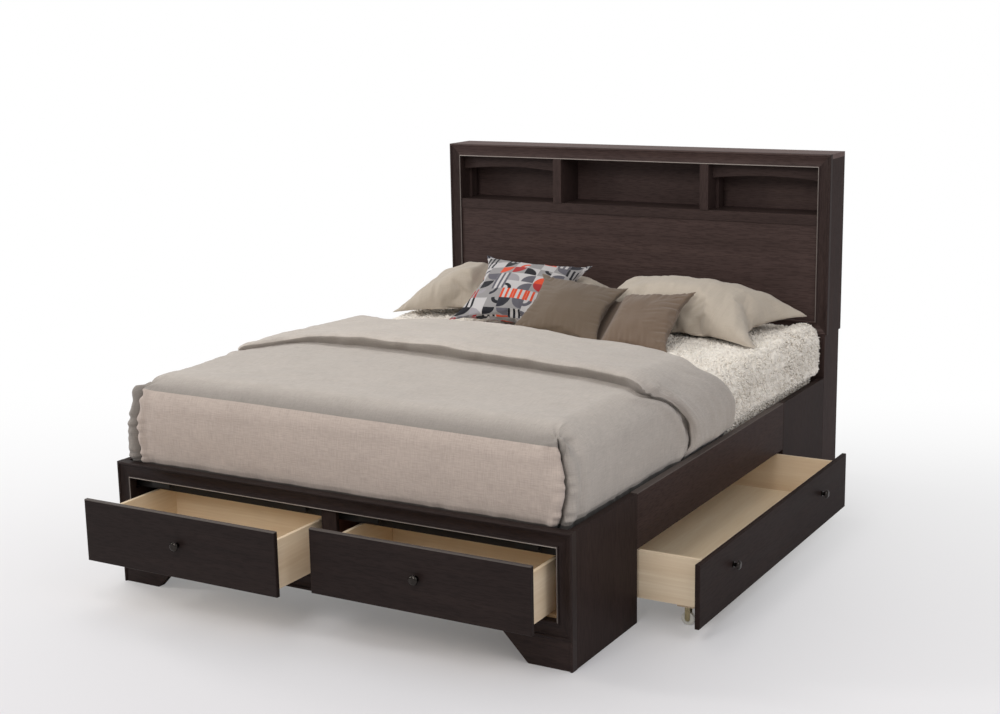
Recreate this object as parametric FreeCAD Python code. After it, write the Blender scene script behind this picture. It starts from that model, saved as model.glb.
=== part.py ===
import FreeCAD, Part
import math
import os

Vector = FreeCAD.Vector
Rotation = FreeCAD.Rotation

# Sizes are in millimetres and angles in degrees. While a piece is made, X runs across the bed from
# its middle, Y runs from the front face of the footboard to the head, and Z runs up from the floor.
# save() then moves it, so that the origin is on the floor at the middle of the whole bed.

# Mattress, and the room left round it
mattress_width = 1524.0
mattress_length = 2032.0
mattress_thickness = 254.0
mattress_round = 30.0
bedding_room = 38.0
foot_room = 32.0
head_room = 11.0
mattress_inset = 75.0

# Base frame
base_height = 405.0
rail_thickness = 25.0
rail_width = 174.0
footboard_thickness = 30.0
foot_return_length = 394.0
head_return_length = 441.0
board_round = 2.0

# Moulding round the headboard and the footboard
moulding_width = 50.0
bead_width = 9.0
bead_drop = 3.5
step_width = 3.0
step_drop = 5.0
hollow_drop = 10.0
lip_width = 7.0
lip_drop = 3.5
lip_round = 1.5
lip_shoulder = 8.0

# Footboard
foot_height = 90.0
foot_length = 144.0
foot_slant = 87.0
foot_corner = 8.0
mullion_width = 54.0
mullion_thickness = 15.0

# Drawer cabinet in the foot end
partition_thickness = 18.0
cabinet_back_thickness = 18.0
bearer_lap = 10.0
bearer_thickness = 19.7
outer_bearer_width = 60.0
inner_bearer_width = 70.0
guide_width = 32.0
stop_width = 72.0
stop_thickness = 15.0
stop_height = 50.0
stop_spacing = 537.0
stop_hang = 25.0

# Slats, and what carries them
slat_width = 80.0
slat_thickness = 18.0
slat_count = 13
ledger_width = 25.0
ledger_height = 40.0
beam_width = 40.0
beam_height = 60.0
centre_leg_width = 40.0
centre_leg_spacing = 450.0

# Steel plates and angles that join the rails
plate_thickness = 3.0
plate_length = 80.0
plate_height = 50.0
plate_inset = 5.0
angle_leg = 40.0
angle_height = 60.0
angle_inset = 8.0
screw_radius = 5.5
screw_height = 4.0

# Headboard
headboard_height = 1257.0
headboard_depth = 164.0
headboard_seam = 571.0
headboard_overhang = 7.0
headboard_moulding = 22.0
board_thickness = 18.0
back_thickness = 6.0
leg_stile_width = 60.0
base_panel_bottom = 200.0
base_panel_thickness = 15.0
base_panel_recess = 3.0
panel_thickness = 10.0
bookcase_height = 229.0
shelf_rail_height = 39.0
shelf_rail_thickness = 14.0
divider_width = 36.0
divider_recess = 4.0
centre_bay_width = 610.0
wall_setback = 5.0
valance_setback = 50.0
valance_thickness = 12.0
valance_height = 89.0
valance_rise = 14.0
cleat_width = 44.0
cleat_thickness = 12.0
cleat_setback = 30.0

# Drawers in general
front_thickness = 15.0
front_round = 3.0
box_side_thickness = 12.0
box_bottom_thickness = 6.0
box_bottom_lift = 12.0
running_clearance = 0.3
seat_clearance = 1.0

# Drawers in the foot end
foot_front_side_gap = 5.5
foot_front_gap = 4.5
foot_front_top_gap = 11.5
foot_box_inset = 31.0
foot_box_top_gap = 12.0
foot_box_back_gap = 6.0
left_drawer_pull = 225.4
right_drawer_pull = 146.3
foot_knob_rise = 6.0

# Drawers on casters under the sides
side_front_floor_gap = 38.5
side_front_lap = 4.5
side_front_foot_lap = 59.3
side_front_head_lap = 34.7
side_box_gap = 14.7
side_box_top_gap = 6.0
side_box_lift = 75.0
side_box_depth = 600.0
side_drawer_pull = 209.6
side_knob_spacing = 814.0
side_knob_rise = 21.0

# Knobs
knob_radius = 15.5
knob_length = 24.0
knob_base_radius = 9.0
knob_base_length = 3.0
knob_neck_radius = 6.0
knob_cap_length = 13.0
knob_edge_length = 5.0
knob_crown_radius = 6.0

# Casters
wheel_radius = 20.0
wheel_width = 15.0
wheel_round = 2.0
axle_radius = 3.0
axle_clearance = 0.05
cheek_thickness = 2.0
cheek_gap = 0.6
cheek_radius = 8.0
fork_height = 60.0
caster_plate_thickness = 2.0
caster_plate_length = 42.0
caster_plate_width = 38.0
caster_block_overhang = 6.0
caster_front_inset = 70.0
caster_back_inset = 70.0
caster_end_inset = 45.0

# Fluffy cover on the mattress
cover_thickness = 16.0
cover_round = 38.0
cover_hem = 15.0

# Duvet, laid over the cover and turned back at its head end
duvet_gap = 5.0
duvet_foot_gap = 3.0
duvet_loft = 90.0
duvet_camber = 12.0
duvet_round = 52.0
duvet_tuck = 20.0
fold_loft = 22.0
tuck_crease_radius = 6.0
tuck_crease_inset = 40.0
# Along the bed: a share of the duvet's foot rounding, then how much of the side and of the top drop.
duvet_foot_rounding = 130.0
duvet_foot_drop = 105.0
duvet_foot_narrowing = 30.0
duvet_foot_shares = [
    (0.0, 1.0, 1.0),
    (0.05, 0.55, 0.62),
    (0.14, 0.25, 0.38),
    (0.30, 0.08, 0.19),
    (0.60, 0.0, 0.05),
    (1.0, 0.0, 0.0),
]
# Edges of the turned-back part, seen from above: shares of the half width and of the mattress length.
duvet_head_shares = [
    (-1.2, 0.70),
    (-0.83, 0.662),
    (-0.54, 0.637),
    (-0.09, 0.622),
    (0.38, 0.566),
    (0.77, 0.516),
    (0.95, 0.486),
    (1.003, 0.560),
    (1.2, 0.560),
]
duvet_hem_shares = [
    (-1.2, 0.280),
    (-0.90, 0.292),
    (-0.68, 0.345),
    (-0.46, 0.358),
    (-0.16, 0.333),
    (0.16, 0.316),
    (0.70, 0.295),
    (0.94, 0.262),
    (1.003, 0.350),
    (1.2, 0.350),
]

# Pillows and cushions: width, height, thickness, seam thickness, drawn-in depth of the sides
pillow_width = 720.0
pillow_height = 440.0
pillow_thickness = 172.0
pillow_seam = 10.0
pillow_draw = 14.0
pillow_across = 376.0
pillow_head_gap = 22.0
pillow_seat = 12.0
pillow_rise_angle = 20.0
pillow_turn_angle = 4.0
print_cushion_size = 440.0
print_cushion_thickness = 105.0
light_cushion_size = 325.0
light_cushion_thickness = 85.0
dark_cushion_size = 350.0
dark_cushion_thickness = 95.0
cushion_seam = 6.0
cushion_draw = 11.0
# Where each cushion's middle lies: across the bed, ahead of the headboard and above the cover
print_cushion_across = -306.0
print_cushion_ahead = 324.0
print_cushion_lift = 114.0
print_cushion_angles = (15.9, 25.6, -8.4)
light_cushion_across = 10.0
light_cushion_ahead = 520.0
light_cushion_lift = 109.0
light_cushion_angles = (19.6, 27.2, -13.6)
dark_cushion_across = 274.0
dark_cushion_ahead = 485.0
dark_cushion_lift = 78.0
dark_cushion_angles = (-2.3, 28.3, 1.4)
# Stations across a cushion, its outline height there and its fullness there
cushion_station_shares = [
    (-1.0, 1.0, 0.0),
    (-0.90, 0.985, 0.40),
    (-0.70, 0.965, 0.72),
    (-0.38, 0.945, 0.94),
    (0.0, 0.94, 1.0),
    (0.38, 0.945, 0.94),
    (0.70, 0.965, 0.72),
    (0.90, 0.985, 0.40),
    (1.0, 1.0, 0.0),
]

# How far a cut runs past the piece that it cuts
overrun = 10.0

# Places that follow from the sizes above
deck_height = base_height - mattress_inset
inner_half = mattress_width / 2 + bedding_room
outer_half = inner_half + rail_thickness
mattress_foot = footboard_thickness + foot_room
mattress_head = mattress_foot + mattress_length
frame_length = mattress_head + head_room
overall_length = frame_length + headboard_depth
cabinet_depth = footboard_thickness + foot_return_length
rail_bottom = base_height - rail_width
frame_opening_bottom = foot_height + moulding_width
frame_opening_top = base_height - moulding_width
ledger_top = deck_height - slat_thickness
ledger_bottom = ledger_top - ledger_height
cabinet_back_front = cabinet_depth - cabinet_back_thickness
bearer_bottom = frame_opening_bottom - bearer_lap
bearer_top = bearer_bottom + bearer_thickness
head_half = outer_half + headboard_overhang
headboard_back = frame_length + headboard_depth
bookcase_back = headboard_back - back_thickness
moulding_back = frame_length + headboard_moulding
head_opening_half = head_half - moulding_width
shelf_height = headboard_height - bookcase_height
cover_half = mattress_width / 2 + cover_thickness
cover_top = deck_height + mattress_thickness + cover_thickness
duvet_half = inner_half - duvet_gap
duvet_top = cover_top + duvet_loft
duvet_bottom = base_height - duvet_tuck

pieces = {}


# Block between two opposite corners.
def block(x0, x1, y0, y1, z0, z1):
    return Part.makeBox(x1 - x0, y1 - y0, z1 - z0, Vector(x0, y0, z0))


def line(start, end):
    return Part.LineSegment(start, end).toShape()


def arc(start, middle, end):
    return Part.Arc(start, middle, end).toShape()


# Flat face inside a closed row of points.
def plate(points):
    return Part.Face(Part.makePolygon(points + points[:1]))


# The same piece on the other side of the bed.
def mirrored(shape):
    return shape.mirror(Vector(0, 0, 0), Vector(1, 0, 0))


def group(shapes):
    return Part.makeCompound(shapes)


# A piece and its twin on the other side of the bed, as one group.
def pair(shape):
    return group([shape, mirrored(shape)])


def joined(shapes):
    solid = shapes[0].multiFuse(shapes[1:])
    return solid.removeSplitter()


# Board with its long edges eased.
def board(x0, x1, y0, y1, z0, z1):
    shape = block(x0, x1, y0, y1, z0, z1)
    ease = min(board_round, min(x1 - x0, y1 - y0, z1 - z0) / 4)
    return shape.makeFillet(ease, shape.Edges)


# One length of moulding with mitred ends. It lies along X with its front at Y = 0 and its outer edge
# at Z = 0. The face has a bead along the outer edge, a hollow, and a lip along the inner edge.
def moulding(length, thickness):
    hollow_start = bead_width + step_width
    hollow_end = moulding_width - lip_width

    def at(across, depth):
        return Vector(0, depth, -across)

    edges = [
        arc(at(0, bead_drop), at(bead_width / 2, 0), at(bead_width, bead_drop)),
        line(at(bead_width, bead_drop), at(bead_width, step_drop)),
        line(at(bead_width, step_drop), at(hollow_start, step_drop)),
        arc(
            at(hollow_start, step_drop),
            at((hollow_start + hollow_end) / 2, hollow_drop),
            at(hollow_end, lip_shoulder),
        ),
        line(at(hollow_end, lip_shoulder), at(hollow_end, lip_drop)),
        arc(
            at(hollow_end, lip_drop),
            at(hollow_end + lip_width / 2, lip_drop - lip_round),
            at(moulding_width, lip_drop),
        ),
        line(at(moulding_width, lip_drop), at(moulding_width, thickness)),
        line(at(moulding_width, thickness), at(0, thickness)),
        line(at(0, thickness), at(0, bead_drop)),
    ]
    bar = Part.Face(Part.Wire(edges)).extrude(Vector(length, 0, 0))
    low = moulding_width + overrun
    outline = [
        Vector(-overrun, -overrun, overrun),
        Vector(length + overrun, -overrun, overrun),
        Vector(length - low, -overrun, -low),
        Vector(low, -overrun, -low),
    ]
    mitred = plate(outline).extrude(Vector(0, thickness + overrun * 2, 0))
    return bar.common(mitred)


# One side of a moulding frame that is centred on X = 0 and Z = 0: turn 0 is the top, 180 the bottom.
def frame_side(length, offset, turn, thickness):
    bar = moulding(length, thickness)
    bar.translate(Vector(-length / 2, 0, offset))
    bar.rotate(Vector(0, 0, 0), Vector(0, 1, 0), turn)
    return bar


# The two level and the two upright lengths of a moulding frame.
def moulding_frame(half_width, bottom, top, front, thickness):
    width = half_width * 2
    height = top - bottom
    rails = group([frame_side(width, height / 2, turn, thickness) for turn in (0, 180)])
    stiles = group([frame_side(height, half_width, turn, thickness) for turn in (90, -90)])
    for shape in (rails, stiles):
        shape.translate(Vector(0, front, (bottom + top) / 2))
    return rails, stiles


# Footboard: the mitred frame, the bar between the two drawers and the bracket feet
def make_footboard():
    rails, stiles = moulding_frame(outer_half, foot_height, base_height, 0, footboard_thickness)
    pieces["footboard_moulding_rails"] = rails
    pieces["footboard_moulding_stiles"] = stiles
    pieces["footboard_mullion"] = block(
        -mullion_width / 2,
        mullion_width / 2,
        footboard_thickness - mullion_thickness,
        footboard_thickness,
        frame_opening_bottom,
        frame_opening_top,
    )
    toe = outer_half - foot_length
    outline = [
        Vector(outer_half, step_drop, 0),
        Vector(toe, step_drop, 0),
        Vector(toe - foot_slant, step_drop, foot_height),
        Vector(outer_half, step_drop, foot_height),
    ]
    bracket = plate(outline).extrude(Vector(0, footboard_thickness - step_drop, 0))
    corner = [edge for edge in bracket.Edges if is_toe_edge(edge, toe)]
    bracket = bracket.makeFillet(foot_corner, corner)
    bead = Part.Wire([
        arc(
            Vector(outer_half, bead_drop, 0),
            Vector(outer_half - bead_width / 2, 0, 0),
            Vector(outer_half - bead_width, bead_drop, 0),
        ),
        line(Vector(outer_half - bead_width, bead_drop, 0), Vector(outer_half - bead_width, step_drop, 0)),
        line(Vector(outer_half - bead_width, step_drop, 0), Vector(outer_half, step_drop, 0)),
        line(Vector(outer_half, step_drop, 0), Vector(outer_half, bead_drop, 0)),
    ])
    bead_strip = Part.Face(bead).extrude(Vector(0, 0, foot_height))
    pieces["footboard_feet"] = pair(joined([bracket, bead_strip]))


# The edge from front to back at the toe of a bracket foot.
def is_toe_edge(edge, toe):
    box = edge.BoundBox
    return box.XLength < overrun / 100 and box.ZMax < overrun / 100 and abs(box.XMin - toe) < overrun / 10


# Panels beside the foot drawers and at the head, and the rails between them
def make_sides():
    foot = board(inner_half, outer_half, footboard_thickness, cabinet_depth, 0, base_height)
    pieces["foot_returns"] = pair(foot)
    head_start = frame_length - head_return_length
    head = board(inner_half, outer_half, head_start, frame_length, 0, base_height)
    pieces["head_returns"] = pair(head)
    rail = board(inner_half, outer_half, cabinet_depth, head_start, rail_bottom, base_height)
    pieces["side_rail_right"] = rail
    pieces["side_rail_left"] = mirrored(rail)


# Cabinet round the foot drawers: partition, back, bearers with guides, and stops
def make_cabinet():
    pieces["cabinet_partition"] = block(
        -partition_thickness / 2,
        partition_thickness / 2,
        footboard_thickness,
        cabinet_back_front,
        bearer_bottom,
        ledger_top,
    )
    pieces["cabinet_back"] = block(
        -inner_half, inner_half, cabinet_back_front, cabinet_depth, bearer_bottom, ledger_bottom
    )
    guide_face = inner_half - guide_width
    guide = block(guide_face, inner_half, footboard_thickness, cabinet_back_front, bearer_bottom, ledger_bottom)
    outer = block(
        guide_face - outer_bearer_width,
        guide_face,
        footboard_thickness,
        cabinet_back_front,
        bearer_bottom,
        bearer_top,
    )
    inner = block(
        partition_thickness / 2,
        partition_thickness / 2 + inner_bearer_width,
        footboard_thickness,
        cabinet_back_front,
        bearer_bottom,
        bearer_top,
    )
    runner = joined([guide, outer])
    pieces["drawer_runners"] = group([runner, mirrored(runner), inner, mirrored(inner)])
    stops = []
    for side in (-1, 1):
        for end in (-1, 1):
            middle = side * foot_opening_middle() + end * stop_spacing / 2
            stops.append(
                block(
                    middle - stop_width / 2,
                    middle + stop_width / 2,
                    footboard_thickness,
                    footboard_thickness + stop_thickness,
                    frame_opening_top - stop_hang,
                    frame_opening_top - stop_hang + stop_height,
                )
            )
    pieces["drawer_stops"] = group(stops)


# Middle of the opening that a foot drawer fills, measured from the middle of the bed.
def foot_opening_middle():
    return (mullion_width / 2 + outer_half - moulding_width) / 2


# Slats, ledgers, centre beam and legs
def make_deck():
    ledger = block(
        inner_half - ledger_width, inner_half, footboard_thickness, frame_length, ledger_bottom, ledger_top
    )
    pieces["slat_ledgers"] = pair(ledger)
    step = (mattress_length - slat_width) / (slat_count - 1)
    slats = []
    for number in range(slat_count):
        start = mattress_foot + step * number
        slats.append(block(-inner_half, inner_half, start, start + slat_width, ledger_top, deck_height))
    pieces["slats"] = group(slats)
    beam_bottom = ledger_top - beam_height
    pieces["centre_beam"] = block(
        -beam_width / 2, beam_width / 2, cabinet_back_front, frame_length + base_panel_recess, beam_bottom, ledger_top
    ).cut(block(-beam_width, beam_width, 0, cabinet_depth, 0, ledger_bottom))
    legs = []
    for place in (-1, 0, 1):
        middle = overall_length / 2 + place * centre_leg_spacing
        legs.append(
            block(
                -centre_leg_width / 2,
                centre_leg_width / 2,
                middle - centre_leg_width / 2,
                middle + centre_leg_width / 2,
                0,
                beam_bottom,
            )
        )
    pieces["centre_legs"] = group(legs)


# Round screw head on a plate, standing along a direction.
def screw(place, direction):
    return Part.makeCylinder(screw_radius, screw_height, place, direction)


# Flat plates where the rails meet the panels, and angles at the headboard
def make_brackets():
    shapes = []
    plate_bottom = deck_height + plate_inset
    plate_middle = plate_bottom + plate_height / 2
    inward = Vector(-1, 0, 0)
    for joint in (cabinet_depth, frame_length - head_return_length):
        strap = block(
            inner_half - plate_thickness,
            inner_half,
            joint - plate_length / 2,
            joint + plate_length / 2,
            plate_bottom,
            plate_bottom + plate_height,
        )
        heads = [
            screw(Vector(inner_half - plate_thickness, joint + end * plate_length / 4, plate_middle), inward)
            for end in (-1, 1)
        ]
        shapes.append(joined([strap] + heads))
    top = ledger_bottom - angle_inset
    along = block(
        inner_half - plate_thickness, inner_half, frame_length - angle_leg, frame_length, top - angle_height, top
    )
    across = block(
        inner_half - angle_leg, inner_half, frame_length - plate_thickness, frame_length, top - angle_height, top
    )
    head_side = screw(
        Vector(inner_half - plate_thickness, frame_length - angle_leg / 2, top - angle_height / 2), inward
    )
    head_across = screw(
        Vector(inner_half - angle_leg / 2, frame_length - plate_thickness, top - angle_height / 2), Vector(0, -1, 0)
    )
    shapes.append(joined([along, across, head_side, head_across]))
    pieces["rail_brackets"] = group(shapes + [mirrored(shape) for shape in shapes])


# Headboard: legs and base panel below the seam, bookcase and framed panel above it
def make_headboard():
    legs = joined([
        block(
            outer_half - board_thickness,
            outer_half,
            frame_length,
            headboard_back,
            0,
            headboard_seam,
        ),
        block(
            outer_half - leg_stile_width,
            outer_half,
            frame_length,
            frame_length + board_thickness,
            0,
            headboard_seam,
        ),
    ])
    pieces["headboard_legs"] = pair(legs)
    panel_half = outer_half - leg_stile_width
    pieces["headboard_base_panel"] = block(
        -panel_half,
        panel_half,
        frame_length + base_panel_recess,
        frame_length + base_panel_recess + base_panel_thickness,
        base_panel_bottom,
        headboard_seam,
    )

    rails, stiles = moulding_frame(
        head_half, headboard_seam, headboard_height, frame_length, headboard_moulding
    )
    pieces["headboard_moulding_rails"] = rails
    pieces["headboard_moulding_stiles"] = stiles

    board_bottom = headboard_height - board_thickness
    side_inner = head_half - board_thickness
    wall = head_opening_half + wall_setback
    pieces["headboard_top"] = block(
        -head_half, head_half, moulding_back, headboard_back, board_bottom, headboard_height
    )
    side = block(side_inner, head_half, moulding_back, headboard_back, headboard_seam, board_bottom)
    liner = block(wall, side_inner, moulding_back, bookcase_back, shelf_height, board_bottom)
    pieces["headboard_sides"] = group([side, mirrored(side), liner, mirrored(liner)])
    shelf = block(
        -side_inner, side_inner, moulding_back, bookcase_back, shelf_height - board_thickness, shelf_height
    )
    floor = block(
        -side_inner, side_inner, moulding_back, bookcase_back, headboard_seam, headboard_seam + board_thickness
    )
    pieces["headboard_shelves"] = group([shelf, floor])
    pieces["headboard_back"] = block(
        -side_inner, side_inner, bookcase_back, headboard_back, headboard_seam, board_bottom
    )
    shelf_rail_bottom = shelf_height - shelf_rail_height
    pieces["bookcase_rail"] = block(
        -head_opening_half,
        head_opening_half,
        moulding_back - shelf_rail_thickness,
        moulding_back,
        shelf_rail_bottom,
        shelf_height,
    )
    pieces["headboard_panel"] = block(
        -head_opening_half,
        head_opening_half,
        moulding_back - panel_thickness,
        moulding_back,
        headboard_seam + moulding_width,
        shelf_rail_bottom,
    )

    bay = centre_bay_width / 2
    divider = joined([
        block(bay, bay + divider_width, moulding_back, bookcase_back, shelf_height, board_bottom),
        block(
            bay,
            bay + divider_width,
            frame_length + divider_recess,
            moulding_back,
            shelf_height,
            headboard_height - moulding_width,
        ),
    ])
    pieces["bookcase_dividers"] = pair(divider)

    left = bay + divider_width
    front = frame_length + valance_setback
    low = board_bottom - valance_height
    edges = [
        line(Vector(left, front, board_bottom), Vector(left, front, low)),
        arc(
            Vector(left, front, low),
            Vector((left + wall) / 2, front, low + valance_rise),
            Vector(wall, front, low),
        ),
        line(Vector(wall, front, low), Vector(wall, front, board_bottom)),
        line(Vector(wall, front, board_bottom), Vector(left, front, board_bottom)),
    ]
    valance = Part.Face(Part.Wire(edges)).extrude(Vector(0, valance_thickness, 0))
    pieces["bookcase_valances"] = pair(valance)

    cleat_back = bookcase_back - cleat_setback
    cleats = [
        block(x, x + cleat_thickness, cleat_back - cleat_width, cleat_back, shelf_height, low)
        for x in (left, wall - cleat_thickness)
    ]
    pieces["bookcase_cleats"] = group(cleats + [mirrored(cleat) for cleat in cleats])


# Knob on a drawer front. It is turned about its own axis, and stands along -Y from its foot at Y = 0.
def knob(x, z, front):
    def at(radius, reach):
        return Vector(radius, -reach, 0)

    cap_start = knob_length - knob_cap_length
    edges = [
        line(at(0, 0), at(knob_base_radius, 0)),
        line(at(knob_base_radius, 0), at(knob_base_radius, knob_base_length)),
        line(at(knob_base_radius, knob_base_length), at(knob_neck_radius, knob_base_length)),
        line(at(knob_neck_radius, knob_base_length), at(knob_neck_radius, cap_start)),
        line(at(knob_neck_radius, cap_start), at(knob_radius, cap_start + knob_edge_length)),
        arc(
            at(knob_radius, cap_start + knob_edge_length),
            at((knob_radius * 2 + knob_crown_radius) / 3, knob_length - knob_edge_length / 2),
            at(knob_crown_radius, knob_length),
        ),
        line(at(knob_crown_radius, knob_length), at(0, knob_length)),
        line(at(0, knob_length), at(0, 0)),
    ]
    turned = Part.Face(Part.Wire(edges)).revolve(Vector(0, 0, 0), Vector(0, 1, 0), 360)
    turned.translate(Vector(x, front, z))
    return turned


# Front, box and bottom of a drawer. The back face of its front lies on Y = 0 and the box runs along +Y.
def drawer(width, bottom, top, box_inset, box_bottom, box_height, box_depth):
    half = width / 2
    front = block(-half, half, -front_thickness, 0, bottom, top)
    front = front.makeFillet(front_round, [edge for edge in front.Edges if edge.BoundBox.YMax < -front_round])
    outer = half - box_inset
    inner = outer - box_side_thickness
    box_top = box_bottom + box_height
    ring = block(-outer, outer, 0, box_depth, box_bottom, box_top)
    hollow = block(
        -inner,
        inner,
        box_side_thickness,
        box_depth - box_side_thickness,
        box_bottom - overrun,
        box_top + overrun,
    )
    floor = block(
        -inner,
        inner,
        box_side_thickness,
        box_depth - box_side_thickness,
        box_bottom + box_bottom_lift,
        box_bottom + box_bottom_lift + box_bottom_thickness,
    )
    return front, ring.cut(hollow), floor


# Moves a drawer piece from its own frame to its place in the bed.
def placed(shape, turn, x, y):
    moved = shape.copy()
    moved.rotate(Vector(0, 0, 0), Vector(0, 0, 1), turn)
    moved.translate(Vector(x, y, 0))
    return moved


# The two drawers of the foot end, which slide on bearers
def make_foot_drawers():
    opening = outer_half - moulding_width - mullion_width / 2
    width = opening - foot_front_side_gap * 2
    bottom = frame_opening_bottom + foot_front_gap
    box_bottom = bearer_top + running_clearance
    top = frame_opening_top - foot_front_top_gap
    front, box, floor = drawer(
        width,
        bottom,
        top,
        foot_box_inset,
        box_bottom,
        ledger_top - foot_box_top_gap - box_bottom,
        cabinet_back_front - footboard_thickness - foot_box_back_gap,
    )
    handle = knob(0, (bottom + top) / 2 + foot_knob_rise, -front_thickness)
    closed = footboard_thickness - running_clearance
    for side, sign, pull in (("left", -1, left_drawer_pull), ("right", 1, right_drawer_pull)):
        x = sign * foot_opening_middle()
        y = closed - pull
        pieces["foot_drawer_" + side + "_front"] = placed(front, 0, x, y)
        pieces["foot_drawer_" + side + "_box"] = placed(box, 0, x, y)
        pieces["foot_drawer_" + side + "_bottom"] = placed(floor, 0, x, y)
        pieces["foot_drawer_" + side + "_knob"] = placed(handle, 0, x, y)


# Wheel of a caster, round an axle along X.
def wheel(x, y):
    tyre = Part.makeCylinder(wheel_radius, wheel_width, Vector(-wheel_width / 2, 0, 0), Vector(1, 0, 0))
    rims = [edge for edge in tyre.Edges if edge.BoundBox.XLength < wheel_round / 10]
    tyre = tyre.makeFillet(wheel_round, rims)
    bore = Part.makeCylinder(
        axle_radius + axle_clearance,
        wheel_width + overrun * 2,
        Vector(-wheel_width / 2 - overrun, 0, 0),
        Vector(1, 0, 0),
    )
    turned = tyre.cut(bore)
    turned.translate(Vector(x, y, wheel_radius))
    return turned


# Fixed fork of a caster, with its axle pin and top plate.
def fork(x, y):
    gap_half = wheel_width / 2 + cheek_gap
    outside = gap_half + cheek_thickness
    shapes = []
    for start in (-outside, gap_half):
        shapes.append(
            block(start, start + cheek_thickness, -cheek_radius, cheek_radius, wheel_radius, fork_height)
        )
        shapes.append(
            Part.makeCylinder(cheek_radius, cheek_thickness, Vector(start, 0, wheel_radius), Vector(1, 0, 0))
        )
    shapes.append(
        block(
            -caster_plate_width / 2,
            caster_plate_width / 2,
            -caster_plate_length / 2,
            caster_plate_length / 2,
            fork_height,
            fork_height + caster_plate_thickness,
        )
    )
    shapes.append(
        Part.makeCylinder(axle_radius, outside * 2, Vector(-outside, 0, wheel_radius), Vector(1, 0, 0))
    )
    solid = joined(shapes)
    solid.translate(Vector(x, y, 0))
    return solid


# Wood block between a caster and the bottom of its drawer.
def caster_block(x, y, bottom):
    half_x = caster_plate_width / 2 + caster_block_overhang
    half_y = caster_plate_length / 2 + caster_block_overhang
    return block(
        x - half_x, x + half_x, y - half_y, y + half_y, fork_height + caster_plate_thickness, bottom
    )


# The two long drawers on casters under the sides of the bed
def make_side_drawers():
    top = rail_bottom + side_front_lap
    bottom = side_front_floor_gap
    opening = frame_length - head_return_length - cabinet_depth
    length = opening + side_front_foot_lap + side_front_head_lap
    inset = side_front_foot_lap + side_box_gap
    front, box, floor = drawer(
        length,
        bottom,
        top,
        inset,
        side_box_lift,
        rail_bottom - side_box_top_gap - side_box_lift,
        side_box_depth,
    )
    box_half = length / 2 - inset
    caster_x = box_half - caster_end_inset
    rows = {"outer": caster_front_inset, "inner": side_box_depth - caster_back_inset}
    forks = [fork(x, y) for y in rows.values() for x in (-caster_x, caster_x)]
    blocks = [
        caster_block(x, y, side_box_lift + box_bottom_lift) for y in rows.values() for x in (-caster_x, caster_x)
    ]
    knob_height = (bottom + top) / 2 + side_knob_rise
    handles = [knob(end * side_knob_spacing / 2, knob_height, -front_thickness) for end in (-1, 1)]
    middle = cabinet_depth - side_front_foot_lap + length / 2
    closed = outer_half + seat_clearance
    for side, sign, pull in (("right", 1, side_drawer_pull), ("left", -1, 0)):
        x = sign * (closed + pull)
        turn = sign * 90
        name = "side_drawer_" + side
        pieces[name + "_front"] = placed(front, turn, x, middle)
        pieces[name + "_box"] = placed(group([box] + blocks), turn, x, middle)
        pieces[name + "_bottom"] = placed(floor, turn, x, middle)
        pieces[name + "_knobs"] = placed(group(handles), turn, x, middle)
        pieces[name + "_caster_forks"] = placed(group(forks), turn, x, middle)
        for row, y in rows.items():
            wheels = group([wheel(end, y) for end in (-caster_x, caster_x)])
            pieces[name + "_wheels_" + row] = placed(wheels, turn, x, middle)


# Section across the bedding: level top with a camber, rounded shoulders and upright sides.
def bedding_section(y, half, bottom, top, camber, radius):
    shoulder = top - camber
    soft = radius * (1 - math.cos(math.pi / 4))
    low_left = Vector(-half, y, bottom)
    low_right = Vector(half, y, bottom)
    side_left = Vector(-half, y, shoulder - radius)
    side_right = Vector(half, y, shoulder - radius)
    top_left = Vector(-half + radius, y, shoulder)
    top_right = Vector(half - radius, y, shoulder)
    return Part.Wire([
        line(low_left, side_left),
        arc(side_left, Vector(-half + soft, y, shoulder - soft), top_left),
        arc(top_left, Vector(0, y, top), top_right),
        arc(top_right, Vector(half - soft, y, shoulder - soft), side_right),
        line(side_right, low_right),
        line(low_right, low_left),
    ])


# Prism over the part of the bed on the head side of an edge that is drawn on the plan.
def headward(shares):
    points = [
        Vector(across * duvet_half, mattress_foot + along * mattress_length, 0) for across, along in shares
    ]
    far = headboard_back + overrun
    points = points + [Vector(points[-1].x, far, 0), Vector(points[0].x, far, 0)]
    return plate(points).extrude(Vector(0, 0, headboard_height))


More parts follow.
